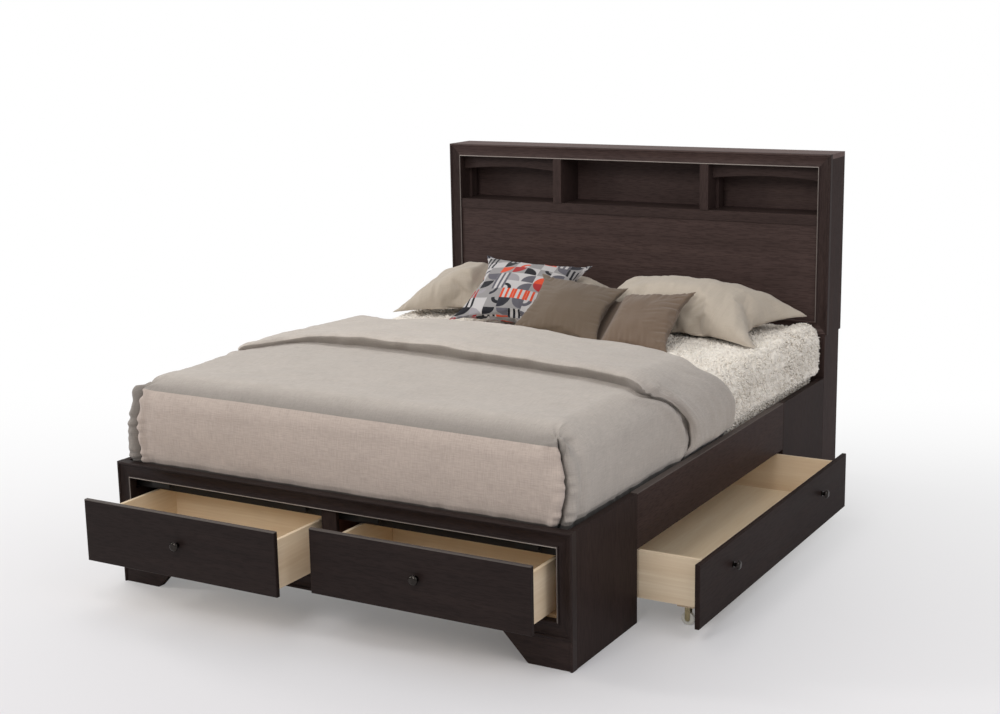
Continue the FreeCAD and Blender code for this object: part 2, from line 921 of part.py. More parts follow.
# Mattress, its cover, and the duvet with its turned-back end
def make_bedding():
    mattress_half = mattress_width / 2
    mattress_top = deck_height + mattress_thickness
    mattress = block(-mattress_half, mattress_half, mattress_foot, mattress_head, deck_height, mattress_top)
    mattress = mattress.makeFillet(mattress_round, mattress.Edges)
    pieces["mattress"] = mattress
    foot = mattress_foot - cover_thickness
    head = mattress_head + head_room / 2
    cover = block(-cover_half, cover_half, foot, head, deck_height + cover_hem, cover_top)
    rounded = [edge for edge in cover.Edges if edge.BoundBox.ZMax > cover_top - cover_round]
    cover = cover.makeFillet(cover_round, rounded)
    pieces["mattress_cover"] = cover.cut(mattress)

    foot = footboard_thickness + duvet_foot_gap
    sections = []
    fold_sections = []
    for along, narrowing, drop in duvet_foot_shares:
        y = foot + along * duvet_foot_rounding
        half = duvet_half - narrowing * duvet_foot_narrowing
        top = duvet_top - drop * duvet_foot_drop
        sections.append(bedding_section(y, half, duvet_bottom, top, duvet_camber, duvet_round))
    far = mattress_head
    sections.append(bedding_section(far, duvet_half, duvet_bottom, duvet_top, duvet_camber, duvet_round))
    fold_foot = foot + duvet_foot_rounding
    for y in (fold_foot, far):
        fold_sections.append(
            bedding_section(
                y,
                duvet_half + duvet_gap + duvet_foot_gap,
                base_height + duvet_foot_gap,
                duvet_top + fold_loft,
                duvet_camber,
                duvet_round,
            )
        )
    laid = Part.makeLoft(sections, True, True)
    fold = Part.makeLoft(fold_sections, True, True)
    fold = fold.common(headward(duvet_hem_shares))
    duvet = laid.fuse(fold).cut(headward(duvet_head_shares))
    duvet = duvet.cut(cover).cut(mattress)
    for sign in (-1, 1):
        crease = Part.makeCylinder(
            tuck_crease_radius,
            duvet_top - duvet_bottom + overrun,
            Vector(sign * (duvet_half - tuck_crease_inset), foot, duvet_bottom - overrun),
        )
        duvet = duvet.cut(crease)
    pieces["duvet"] = duvet.removeSplitter()


# Pillow or cushion, with a crown in the middle and sides that are drawn in between the corners.
# It lies flat about the origin: X across, Y from the bottom edge to the top edge, Z through it.
def cushion(width, height, thickness, seam, draw):
    sections = []
    for across, outline, fullness in cushion_station_shares:
        x = across * width / 2
        half = outline * height / 2
        bulge = seam / 2 + fullness * (thickness - seam) / 2
        low = Vector(x, -half, 0)
        high = Vector(x, half, 0)
        sections.append(Part.Wire([
            arc(low, Vector(x, 0, bulge), high),
            arc(high, Vector(x, 0, -bulge), low),
        ]))
    solid = Part.makeLoft(sections, True, False)
    radius = (height * height / 4 + draw * draw) / (draw * 2)
    for sign in (-1, 1):
        scoop = Part.makeCylinder(
            radius, thickness * 2, Vector(sign * (width / 2 - draw + radius), 0, -thickness)
        )
        solid = solid.cut(scoop)
    return solid


# Turns a cushion in its own plane, raises its top edge, turns it about the vertical and moves it.
def laid(shape, centre, turn, rise, roll):
    upright = Vector(0, 0, 1)
    spin = Rotation(upright, turn).multiply(Rotation(Vector(1, 0, 0), rise)).multiply(Rotation(upright, roll))
    moved = shape.copy()
    moved.Placement = FreeCAD.Placement(centre, spin)
    return moved


# Two sleeping pillows and three smaller cushions
def make_cushions():
    pillow = cushion(pillow_width, pillow_height, pillow_thickness, pillow_seam, pillow_draw)
    run = pillow_height / 2 * math.cos(math.radians(pillow_rise_angle))
    lift = pillow_height / 2 * math.sin(math.radians(pillow_rise_angle))
    x = pillow_across
    y = frame_length - pillow_head_gap - run
    z = cover_top + pillow_seat + lift
    right = laid(pillow, Vector(x, y, z), -pillow_turn_angle, pillow_rise_angle, 0)
    left = laid(pillow, Vector(-x, y, z), pillow_turn_angle, pillow_rise_angle, 0)
    table = [
        (
            "cushion_patterned",
            print_cushion_size,
            print_cushion_thickness,
            Vector(print_cushion_across, frame_length - print_cushion_ahead, cover_top + print_cushion_lift),
            print_cushion_angles,
        ),
        (
            "cushion_light",
            light_cushion_size,
            light_cushion_thickness,
            Vector(light_cushion_across, frame_length - light_cushion_ahead, cover_top + light_cushion_lift),
            light_cushion_angles,
        ),
        (
            "cushion_dark",
            dark_cushion_size,
            dark_cushion_thickness,
            Vector(dark_cushion_across, frame_length - dark_cushion_ahead, cover_top + dark_cushion_lift),
            dark_cushion_angles,
        ),
    ]
    small = {}
    for name, size, thickness, centre, angles in table:
        shape = cushion(size, size, thickness, cushion_seam, cushion_draw)
        small[name] = laid(shape, centre, angles[0], angles[1], angles[2])
    # The cushion in front keeps its form, and the one behind it gives way.
    pieces["cushion_light"] = small["cushion_light"]
    pieces["cushion_dark"] = small["cushion_dark"].cut(small["cushion_light"])
    pieces["cushion_patterned"] = small["cushion_patterned"].cut(small["cushion_light"])
    left = left.cut(right)
    for name in ("cushion_light", "cushion_dark", "cushion_patterned"):
        left = left.cut(pieces[name])
        right = right.cut(pieces[name])
    cover = pieces["mattress_cover"]
    pieces["sleeping_pillow_left"] = left.cut(cover)
    pieces["sleeping_pillow_right"] = right.cut(cover)
    for name in ("cushion_light", "cushion_dark", "cushion_patterned"):
        pieces[name] = pieces[name].cut(cover).cut(pieces["duvet"])


# Moves a piece to the part's origin and writes it.
def save(name, shape):
    shape.translate(Vector(0, -overall_length / 2, 0))
    shape.exportStep("parts/" + name + ".step")
    box = shape.BoundBox
    print(
        name,
        len(shape.Solids),
        "valid" if shape.isValid() else "INVALID",
        "%.1f %.1f  %.1f %.1f  %.1f %.1f" % (box.XMin, box.XMax, box.YMin, box.YMax, box.ZMin, box.ZMax),
    )


make_footboard()
make_sides()
make_cabinet()
make_deck()
make_brackets()
make_headboard()
make_foot_drawers()
make_side_drawers()
make_bedding()
make_cushions()

os.makedirs("parts", exist_ok=True)
for piece_name, piece_shape in pieces.items():
    save(piece_name, piece_shape)
print(len(pieces), "pieces")
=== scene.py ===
import bpy
import math
import numpy as np
from mathutils import Matrix, Vector


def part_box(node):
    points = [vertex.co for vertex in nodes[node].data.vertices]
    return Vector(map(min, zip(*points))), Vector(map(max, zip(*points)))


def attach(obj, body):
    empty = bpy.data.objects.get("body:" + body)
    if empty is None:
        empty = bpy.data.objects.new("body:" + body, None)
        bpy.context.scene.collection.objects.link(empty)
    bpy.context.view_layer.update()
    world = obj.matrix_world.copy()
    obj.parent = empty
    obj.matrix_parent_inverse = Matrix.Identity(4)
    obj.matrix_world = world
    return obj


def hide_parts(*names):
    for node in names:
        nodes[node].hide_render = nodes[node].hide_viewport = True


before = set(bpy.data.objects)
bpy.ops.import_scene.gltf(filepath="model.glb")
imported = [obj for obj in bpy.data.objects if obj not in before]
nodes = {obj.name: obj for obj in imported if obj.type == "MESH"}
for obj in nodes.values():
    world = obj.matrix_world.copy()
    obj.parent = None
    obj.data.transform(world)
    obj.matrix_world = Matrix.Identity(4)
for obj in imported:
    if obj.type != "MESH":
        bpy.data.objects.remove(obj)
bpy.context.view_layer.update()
print("stage: frame loaded,", len(nodes), "solids")


# Shader maths and materials

class Term:
    # A number socket. Maths on it adds Math nodes to the same material.
    def __init__(self, surface, socket):
        self.surface = surface
        self.socket = socket

    def __add__(self, other):
        return self.surface.maths("ADD", self, other)

    def __sub__(self, other):
        return self.surface.maths("SUBTRACT", self, other)

    def __rsub__(self, other):
        return self.surface.maths("SUBTRACT", other, self)

    def __mul__(self, other):
        return self.surface.maths("MULTIPLY", self, other)

    def __abs__(self):
        return self.surface.maths("ABSOLUTE", self)

    def __lt__(self, other):
        return self.surface.maths("LESS_THAN", self, other)

    def __gt__(self, other):
        return self.surface.maths("GREATER_THAN", self, other)

    __radd__ = __add__
    __rmul__ = __mul__

    def clamped(self):
        # Held between 0 and 1.
        return self.surface.maths("MINIMUM", self.surface.maths("MAXIMUM", self, 0.0), 1.0)


class Surface:
    # A material with one Principled shader, and the means to add nodes to it.
    def __init__(self, name, roughness=0.5, **plain):
        self.material = bpy.data.materials.new(name)
        self.material.use_nodes = True
        self.tree = self.material.node_tree
        self.tree.nodes.clear()
        output = self.tree.nodes.new("ShaderNodeOutputMaterial")
        self.shader = self.tree.nodes.new("ShaderNodeBsdfPrincipled")
        self.tree.links.new(self.shader.outputs[0], output.inputs[0])
        self.shader.inputs["Roughness"].default_value = roughness
        for socketName, value in plain.items():
            self.shader.inputs[socketName.replace("_", " ")].default_value = value

    def add(self, kind, settings, sockets, output=0):
        # A node with its settings and its sockets fed; stops are the places and colours of a ramp.
        node = self.tree.nodes.new(kind)
        for key, value in settings.items():
            if key == "stops":
                ramp = node.color_ramp.elements
                while len(ramp) < len(value):
                    ramp.new(0.5)
                for element, (place, colour) in zip(ramp, value):
                    element.position = place
                    element.color = (*colour, 1)
            else:
                setattr(node, key, value)
        for key, value in sockets.items():
            self.feed(node.inputs[key], value)
        return Term(self, node.outputs[output])

    def feed(self, socket, value):
        if isinstance(value, Term):
            self.tree.links.new(value.socket, socket)
        elif hasattr(value, "__len__") and len(value) == 3 and socket.type == "RGBA":
            socket.default_value = (*value, 1)
        else:
            socket.default_value = value

    def maths(self, operation, *terms):
        return self.add("ShaderNodeMath", {"operation": operation}, dict(enumerate(terms)))

    def vectorMaths(self, operation, *terms):
        return self.add("ShaderNodeVectorMath", {"operation": operation}, dict(enumerate(terms)))

    def rise(self, value, start, end):
        # From 0 at start to 1 at end, level at both.
        sockets = {0: value, 1: start, 2: end, 3: 0.0, 4: 1.0}
        return self.add("ShaderNodeMapRange", {"interpolation_type": "SMOOTHSTEP"}, sockets)

    def place(self):
        return self.add("ShaderNodeTexCoord", {}, {}, "Object")

    def uv(self):
        return self.add("ShaderNodeTexCoord", {}, {}, "UV")

    def attribute(self, name):
        return self.add("ShaderNodeAttribute", {"attribute_name": name}, {}, "Fac")

    def axes(self, vector):
        split = self.tree.nodes.new("ShaderNodeSeparateXYZ")
        self.feed(split.inputs[0], vector)
        return [Term(self, socket) for socket in split.outputs]

    def stretched(self, vector, scale):
        return self.add("ShaderNodeMapping", {}, {"Vector": vector, "Scale": scale})

    def noise(self, vector, scale, detail=3.0, roughness=0.5, distortion=0.0):
        sockets = {"Vector": vector, "Scale": scale, "Detail": detail, "Roughness": roughness}
        return self.add("ShaderNodeTexNoise", {}, {**sockets, "Distortion": distortion})

    def ramp(self, value, stops):
        return self.add("ShaderNodeValToRGB", {"stops": stops}, {"Fac": value})

    def mix(self, factor, first, second, blend="MIX"):
        settings = {"data_type": "RGBA", "blend_type": blend}
        return self.add("ShaderNodeMix", settings, {0: factor, 6: first, 7: second}, 2)

    def bump(self, height, strength, distance):
        return self.add("ShaderNodeBump", {}, {"Strength": strength, "Distance": distance, "Height": height})

    def finish(self, colour=None, roughness=None, normal=None):
        for name, value in (("Base Color", colour), ("Roughness", roughness), ("Normal", normal)):
            if value is not None:
                self.feed(self.shader.inputs[name], value)
        return self.material


def tone(red, green, blue):
    # A display colour from 0 to 255 as the linear colour that the shader takes.
    parts = (part / 255 for part in (red, green, blue))
    return tuple(part / 12.92 if part <= 0.04045 else ((part + 0.055) / 1.055) ** 2.4 for part in parts)


def scaled(colour, share):
    # Each part of a colour times share, and at most 1.
    return tuple(min(1, part * share) for part in colour)


def shades(colour, darker, lighter, places):
    # The three stops of a ramp: the colour made darker, the colour itself and the colour made lighter.
    return list(zip(places, (scaled(colour, 1 - darker), colour, scaled(colour, 1 + lighter))))


def linked(name, data):
    # A new object in the scene that shows the data.
    thing = bpy.data.objects.new(name, data)
    bpy.context.scene.collection.objects.link(thing)
    return thing


# Camera, floor and lamps

camera = {
    "spot": (2.7749, -4.8844, 1.8116),
    "yaw": 29.99,
    "pitch": -12.14,
    "roll": -1.05,
    "focal": 1621.3,
    "frameWidth": 1000.0,
    "sensor": 36.0,
}


def makeCamera():
    # The view direction comes from yaw and pitch, then the picture is rolled about it.
    yaw, pitch, roll = (math.radians(camera[key]) for key in ("yaw", "pitch", "roll"))
    ahead = Vector((-math.sin(yaw) * math.cos(pitch), math.cos(yaw) * math.cos(pitch), math.sin(pitch)))
    across = Vector((math.cos(yaw), math.sin(yaw), 0))
    above = across.cross(ahead)
    right = across * math.cos(roll) + above * math.sin(roll)
    up = above * math.cos(roll) - across * math.sin(roll)
    data = bpy.data.cameras.new("camera")
    data.sensor_width = camera["sensor"]
    data.lens = camera["sensor"] * camera["focal"] / camera["frameWidth"]
    data.clip_end = 100
    thing = linked("camera", data)
    turn = Matrix((right, up, -ahead)).transposed().to_4x4()
    thing.matrix_world = Matrix.Translation(Vector(camera["spot"])) @ turn
    bpy.context.scene.camera = thing


stage = {
    "floorSize": 60.0,
    "floorTone": (221, 220, 223),
    "rightTone": (240, 239, 241),
    "rightFrom": 0.3,
    "rightTo": 2.4,
    "fadeStart": -2.2,
    "fadeEnd": 2.2,
    "fadeSlant": 0.45,
    "worldLight": 0.50,
}
lamps = [
    # name, place, target, size, power, tone
    ("overhead", (-2.3, 0.3, 4.9), (0.0, 0.0, 0.4), 3.5, 64, (255, 253, 249)),
    ("left", (-5.4, -3.4, 3.0), (0.0, 0.0, 0.4), 0.9, 74, (255, 253, 249)),
    ("window", (-5.5, 0.45, 2.4), (-0.4, -0.6, 0.3), 0.9, 50, (255, 253, 249)),
    ("front", (0.5, -6.5, 4.8), (0.2, 0.0, 0.4), 3.0, 132, (255, 253, 251)),
    ("headward", (0.2, -2.6, 3.6), (0.1, 1.0, 0.9), 1.6, 18, (255, 252, 248)),
    ("right", (4.5, -1.3, 3.0), (0.8, 0.0, 0.3), 3.0, 43, (253, 253, 255)),
]


def makeFloor():
    # A square floor, painted paler on the right as painted light. Away from the camera it fades into the
    # white backdrop.
    size = stage["floorSize"] / 2
    mesh = bpy.data.meshes.new("floor")
    corners = [(-size, -size, 0), (size, -size, 0), (size, size, 0), (-size, size, 0)]
    mesh.from_pydata(corners, [], [(0, 1, 2, 3)])
    surface = Surface("floorPaint", 0.6, Specular_IOR_Level=0.15)
    x, y, z = surface.axes(surface.place())
    fade = surface.rise(y - x * stage["fadeSlant"], stage["fadeStart"], stage["fadeEnd"])
    # Painted light: the floor's colour is paler towards the right.
    rightward = surface.rise(x, stage["rightFrom"], stage["rightTo"])
    surface.finish(colour=surface.mix(rightward, tone(*stage["floorTone"]), tone(*stage["rightTone"])))
    glow = surface.tree.nodes.new("ShaderNodeEmission")
    seen = surface.tree.nodes.new("ShaderNodeLightPath")
    mix = surface.tree.nodes.new("ShaderNodeMixShader")
    surface.feed(mix.inputs[0], fade * Term(surface, seen.outputs["Is Camera Ray"]))
    surface.tree.links.new(surface.shader.outputs[0], mix.inputs[1])
    surface.tree.links.new(glow.outputs[0], mix.inputs[2])
    output = next(node for node in surface.tree.nodes if node.type == "OUTPUT_MATERIAL")
    surface.tree.links.new(mix.outputs[0], output.inputs[0])
    mesh.materials.append(surface.material)
    linked("floor", mesh)


def makeWorld():
    # The camera sees plain white behind the floor; the bed gets an even light of its own strength.
    world = bpy.data.worlds.new("studio")
    bpy.context.scene.world = world
    world.use_nodes = True
    tree = world.node_tree
    tree.nodes.clear()
    output = tree.nodes.new("ShaderNodeOutputWorld")
    blend = tree.nodes.new("ShaderNodeMixShader")
    ray = tree.nodes.new("ShaderNodeLightPath")
    tree.links.new(ray.outputs["Is Camera Ray"], blend.inputs[0])
    for slot, strength in ((1, stage["worldLight"]), (2, 1.0)):
        plain = tree.nodes.new("ShaderNodeBackground")
        plain.inputs["Color"].default_value = (1, 1, 1, 1)
        plain.inputs["Strength"].default_value = strength
        tree.links.new(plain.outputs[0], blend.inputs[slot])
    tree.links.new(blend.outputs[0], output.inputs[0])


def makeLamps():
    # Square lamps, each aimed at its target.
    for name, spot, target, width, power, warmth in lamps:
        data = bpy.data.lights.new(name, "AREA")
        data.shape = "SQUARE"
        data.size = width
        data.energy = power
        data.color = tone(*warmth)
        aim = (Vector(target) - Vector(spot)).to_track_quat("-Z", "Y")
        linked(name, data).matrix_world = Matrix.Translation(Vector(spot)) @ aim.to_matrix().to_4x4()


makeCamera()
makeFloor()
makeWorld()
makeLamps()
bpy.context.scene.view_settings.view_transform = "Standard"
print("stage: camera and lamps")


# Finishes

espresso = {
    "dark": (40, 31, 29),
    "middle": (46, 36, 34),
    "light": (53, 42, 39),
    # The pale colour and half width of the painted highlight lines along some edges.
    "paintedHighlight": (176, 168, 162),
    "highlightHalfWidth": 0.0016,
    "alongGrain": 1.3,
    "acrossGrain": 32.0,
    "roughness": 0.36,
    "shine": 0.11,
    "dullShine": 0.035,
}
pine = {
    "dark": (220, 195, 163),
    "light": (240, 222, 195),
    # The bottoms are paler and yellower than the boards of the boxes; the paleness is partly painted light
    # for the shade inside the boxes.
    "bottomDark": (238, 215, 182),
    "bottomLight": (252, 237, 209),
    "boardThickness": 0.013,
}
# The colour of what lies in a narrow gap, where no light comes.
gapTone = (20, 17, 16)


def grainScale(grain, along, across):
    # A texture's scale for each axis, stretched along the grain.
    scale = [across, across, across]
    scale[grain] = along
    return scale


def espressoWood(name, grain, tint=1.0, shift=0.0, paintedHighlight=(), shine=espresso["shine"]):
    # Dark stained wood: long streaks along the grain, fine open pores, a satin coat. The edges listed as
    # (axis, place, share) get a thin pale line of painted highlight.
    surface = Surface(name, 0.4, Specular_IOR_Level=shine)
    place = surface.place()
    along, across = espresso["alongGrain"], espresso["acrossGrain"]
    moved = surface.vectorMaths("ADD", place, (shift, shift * 0.7, shift * 1.3))
    streak = surface.noise(surface.stretched(moved, grainScale(grain, along, across)), 1.0, 5.0, 0.55, 0.35)
    pores = surface.noise(surface.stretched(moved, grainScale(grain, along * 20, across * 9)), 1.0, 2.0, 0.5)
    broad = surface.noise(moved, 2.2, 2.0)
    # tint makes the stain lighter or darker; for most pieces this is painted light and shade.
    dark, middle, light = (scaled(tone(*espresso[key]), tint) for key in ("dark", "middle", "light"))
    colour = surface.ramp(streak * 0.6 + broad * 0.4, [(0.30, dark), (0.52, middle), (0.72, light)])
    poreMask = surface.ramp(pores, [(0.38, (0.66, 0.64, 0.64)), (0.54, (1, 1, 1))])
    colour = surface.mix(0.75, colour, poreMask, "MULTIPLY")
    # Painted highlight: a thin pale line along each of these edges, where light would catch it.
    for axis, where, share in paintedHighlight:
        distance = abs(abs(surface.axes(place)[axis]) - where)
        line = (distance < espresso["highlightHalfWidth"]) * (0.4 + streak * 0.7) * share
        colour = surface.mix(line, colour, tone(*espresso["paintedHighlight"]))
    return surface.finish(
        colour=colour,
        roughness=espresso["roughness"] + streak * 0.16,
        normal=surface.bump(streak * 0.35 + pores * 0.65, 0.22, 0.0012),
    )


def plainWood(name, dark, light, grain, side=20.0, rough=0.5, split=None, shade=None):
    # Pale boards: soft bands along the grain and thin darker lines. split = (axis, middle, half, other) turns
    # the grain to the other axis further than half from middle, for boxes of boards. Boards nearer to the
    # foot of the bed than shade get the dark gap colour as painted shade.
    surface = Surface(name, rough)
    place = surface.place()

    def bands(axis):
        wide = surface.noise(surface.stretched(place, grainScale(axis, 1.3, side)), 1.0, 4.0, 0.55, 0.5)
        thin = surface.noise(surface.stretched(place, grainScale(axis, 5.0, side * 7)), 1.0, 2.0, 0.6)
        return wide * 0.62 + thin * 0.38

    level = bands(grain)
    if split is not None:
        axis, middle, half, other = split
        mask = abs(surface.axes(place)[axis] - middle) > half
        level = level * (1 - mask) + bands(other) * mask
    between = tuple((a + b) / 2 for a, b in zip(dark, light))
    colour = surface.ramp(level, [(0.32, dark), (0.55, between), (0.70, light)])
    if shade is not None:
        # Painted shade: the dark gap colour towards the foot.
        colour = surface.mix(surface.axes(place)[1] < shade, colour, tone(*gapTone))
    bumps = surface.bump(level, 0.12, 0.0008)
    return surface.finish(colour=colour, roughness=rough - 0.08 + level * 0.16, normal=bumps)


def metal(name, colour, rough, wear=0.1):
    # Plated or lacquered metal with slightly cloudy gloss.
    surface = Surface(name, rough, Metallic=1.0)
    haze = surface.noise(surface.place(), 90.0, 3.0)
    shade = surface.ramp(haze, [(0.3, scaled(colour, 1 - wear)), (0.7, colour)])
    bumps = surface.bump(haze, 0.06, 0.0004)
    return surface.finish(colour=shade, roughness=rough - 0.06 + haze * 0.12, normal=bumps)


def nylon(name, colour):
    # Moulded nylon, a little uneven in tone and gloss.
    surface = Surface(name, 0.42)
    haze = surface.noise(surface.place(), 60.0, 2.0)
    shade = surface.ramp(haze, [(0.3, scaled(colour, 0.9)), (0.7, colour)])
    return surface.finish(colour=shade, roughness=0.38 + haze * 0.1)


def cloth(name, colour, threads=900.0, weave=0.25, slub=0.06, rough=0.85, fuzz=0.25):
    # Plain woven cloth: threads cross on the piece's own UV map, which is in metres. Their colour is uneven.
    surface = Surface(name, rough, Sheen_Weight=fuzz, Sheen_Roughness=0.6, Specular_IOR_Level=0.25)
    place = surface.uv()
    u, v, w = surface.axes(place)
    warp = surface.maths("SINE", u * (threads * math.pi))
    weft = surface.maths("SINE", v * (threads * math.pi))
    thick = surface.noise(surface.stretched(place, (threads * 0.5, threads * 0.02, 1)), 1.0, 3.0)
    thin = surface.noise(surface.stretched(place, (threads * 0.02, threads * 0.5, 1)), 1.0, 3.0)
    uneven = (thick + thin) * 0.5
    level = uneven * 0.7 + surface.noise(place, 5.0, 3.0) * 0.3
    shade = surface.ramp(level, shades(colour, slub * 2, slub * 1.4, (0.35, 0.5, 0.66)))
    return surface.finish(colour=shade, normal=surface.bump(warp * weft * 0.3 + uneven, weave, 0.0012))


def paint(nodeNames, material):
    # The named solids get this material and no other.
    for nodeName in nodeNames:
        mesh = nodes[nodeName].data
        mesh.materials.clear()
        mesh.materials.append(material)


# The dark pieces, by the axis that their grain runs along.
woodByGrain = {
    0: [
        "headboard_top", "headboard_shelves", "headboard_moulding_rails", "bookcase_rail",
        "bookcase_valances", "headboard_panel", "headboard_base_panel", "headboard_back",
        "footboard_moulding_rails", "footboard_feet", "foot_drawer_left_front", "foot_drawer_right_front",
    ],
    1: ["side_rail_left", "side_rail_right", "side_drawer_right_front", "side_drawer_left_front"],
    2: [
        "headboard_sides", "headboard_moulding_stiles", "bookcase_dividers", "bookcase_cleats",
        "headboard_legs", "footboard_moulding_stiles", "footboard_mullion", "foot_returns", "head_returns",
    ],
}
# Painted light and shade: some pieces are painted lighter where they get more light or reflection, such as
# the headboard's top, and darker where they get less.
woodPaintedLight = {
    "headboard_panel": 2.35, "headboard_top": 5.0, "headboard_moulding_rails": 2.3,
    "headboard_moulding_stiles": 1.5, "headboard_base_panel": 1.6, "headboard_back": 2.3,
    "headboard_sides": 1.6, "headboard_legs": 1.7, "foot_drawer_left_front": 0.70,
    "foot_drawer_right_front": 0.74, "side_rail_right": 1.9, "foot_returns": 1.12, "head_returns": 1.2,
    "side_drawer_right_front": 0.95, "side_drawer_left_front": 0.95, "footboard_moulding_rails": 0.85,
    "footboard_moulding_stiles": 0.85,
}
# Pieces whose wide faces look to the side have a duller coat.
dull = ("side_rail", "side_drawer", "headboard_sides", "headboard_legs", "head_returns", "foot_returns")
# The painted highlight lines lie this far inside the outer edges of the two moulding frames.
highlightInside = 0.048


def highlightEdges():
    # Painted highlights: pale lines round the two moulding frames, and fainter ones on top edges.
    found = {}
    for name in ("headboard_moulding_rails", "footboard_moulding_rails"):
        low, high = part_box(name)
        found[name] = ((2, high[2] - highlightInside, 1.0),)
        found[name.replace("rails", "stiles")] = ((0, high[0] - highlightInside, 0.45),)
    for name in ("side_rail_right", "side_rail_left", "foot_drawer_left_front", "foot_drawer_right_front"):
        found[name] = ((2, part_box(name)[1][2] - 0.001, 0.22),)
    return found


def paintDarkWood():
    # Each dark piece has its own material, so that no two show the same stretch of grain.
    paintedHighlight = highlightEdges()
    for grain, names in woodByGrain.items():
        for number, name in enumerate(names):
            # Painted light: headboard and bookcase pieces that are not listed are painted 1.7 times lighter,
            # as they get more light.
            tint = woodPaintedLight.get(name, 1.7 if "headboard" in name or "bookcase" in name else 1.0)
            shine = espresso["dullShine" if name.startswith(dull) else "shine"]
            shift = grain * 3.1 + number * 1.7
            paint([name], espressoWood("espresso_" + name, grain, tint, shift, paintedHighlight.get(name, ()), shine))
    paint(["slat_ledgers"], espressoWood("espresso_ledgers", 0, 0.8, 9.0))
    paint(["centre_legs"], espressoWood("espresso_legs", 2, 0.9, 5.0))


def paintDrawerBoxes():
    # The grain of each board runs along it, so it turns at the boards that cross the drawer's length.
    dark, light, bottomDark, bottomLight = (
        tone(*pine[key]) for key in ("dark", "light", "bottomDark", "bottomLight")
    )
    for drawer, wood, grain in (("foot_drawer_", "pine_", 0), ("side_drawer_", "pine_long_", 1)):
        for side in ("left", "right"):
            low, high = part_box(drawer + side + "_box")
            middle = (low[grain] + high[grain]) / 2
            half = (high[grain] - low[grain]) / 2 - pine["boardThickness"]
            split = (grain, middle, half, 1 - grain)
            boards = plainWood(wood + "box_" + side, dark, light, grain, split=split)
            paint([drawer + side + "_box"], boards)
            # The bottom's paler colour is partly painted light.
            bottom = plainWood(wood + "bottom_" + side, bottomDark, bottomLight, grain, 9.0)
            paint([drawer + side + "_bottom"], bottom)


def paintRest():
    # Raw boards, blocks, plates, casters and the mattress's ticking.
    raw = plainWood("raw_boards", tone(150, 118, 84), tone(190, 158, 118), 1, 16.0, 0.7)
    # The slats and the ticking are painted with shade near the foot, where they lie in the dark.
    slats = plainWood("raw_slats", tone(160, 128, 92), tone(198, 168, 128), 0, 16.0, 0.7, shade=-0.95)
    ticking = plainWood("ticking", tone(215, 210, 200), tone(235, 231, 222), 0, 30.0, 0.85, shade=-1.06)
    knobs = [name for name in nodes if name.endswith(("_knob", "_knobs"))]
    paint(["drawer_runners", "centre_beam"], raw)
    paint(["slats", "cabinet_back"], slats)
    paint(["cabinet_partition"], plainWood("red_board", tone(74, 42, 32), tone(100, 60, 46), 1, 14.0, 0.6))
    paint(["drawer_stops"], plainWood("black_blocks", tone(9, 8, 8), tone(16, 15, 15), 0, 14.0, 0.6))
    paint(["rail_brackets"], metal("zinc_plate", (0.62, 0.62, 0.6), 0.38))
    paint(knobs, metal("dark_bronze", (0.050, 0.044, 0.040), 0.20, 0.35))
    brass = metal("brass_plate", (0.50, 0.43, 0.26), 0.35, 0.25)
    paint([name for name in nodes if name.endswith("_caster_forks")], brass)
    paint([name for name in nodes if "_wheels_" in name], nylon("nylon_wheel", tone(206, 204, 196)))
    paint(["mattress"], ticking)


paintDarkWood()
paintDrawerBoxes()
paintRest()
print("stage: frame painted")


# Shapes made from whole arrays of points

def smooth(start, end, value):
    # Runs from 0 at start to 1 at end, level at both.
    share = np.clip((value - start) / (end - start), 0, 1)
    return share * share * (3 - 2 * share)


def cloud(x, y, size, seed):
    # Random numbers from -1 to 1 at the corners of square cells, eased in between.
    table = np.random.default_rng(seed).uniform(-1, 1, (256, 256))
    gx, gy = x / size + 64, y / size + 64
    ix, iy = np.floor(gx).astype(int), np.floor(gy).astype(int)
    fx, fy = gx - ix, gy - iy
    fx, fy = fx * fx * (3 - 2 * fx), fy * fy * (3 - 2 * fy)
    near = table[ix % 256, iy % 256] * (1 - fx) + table[(ix + 1) % 256, iy % 256] * fx
    far = table[ix % 256, (iy + 1) % 256] * (1 - fx) + table[(ix + 1) % 256, (iy + 1) % 256] * fx
    return near * (1 - fy) + far * fy


def cloudIn(points, size, seed):
    # Mean of three flat clouds, one in each pair of axes, so that it has no seam anywhere.
    x, y, z = points[..., 0], points[..., 1], points[..., 2]
    return (cloud(x, y, size, seed) + cloud(y, z, size, seed + 1) + cloud(z, x, size, seed + 2)) / 1.7


def eased(table, places, spread):
    # Straight lines between the table's points, averaged over spread to each side.
    keys, values = zip(*table)
    return sum(np.interp(places + step * spread, keys, values) for step in np.linspace(-1, 1, 9)) / 9


def hill(value, height, middle, width):
    # A rounded hill of that height over the middle, which has all but gone two widths away.
    return height * np.exp(-(((value - middle) / width) ** 2))


def unit(vectors):
    # Each vector divided by its length.
    return vectors / np.maximum(np.linalg.norm(vectors, axis=-1, keepdims=True), 1e-9)


def gridFaces(rows, columns, closed=False):
    # Four-sided faces between rows and columns of points; closed joins the last column to the first.
    index = np.arange(rows * columns).reshape(rows, columns)
    if closed:
        index = np.hstack([index, index[:, :1]])
    return np.stack([index[:-1, :-1], index[:-1, 1:], index[1:, 1:], index[1:, :-1]], -1).reshape(-1, 4)


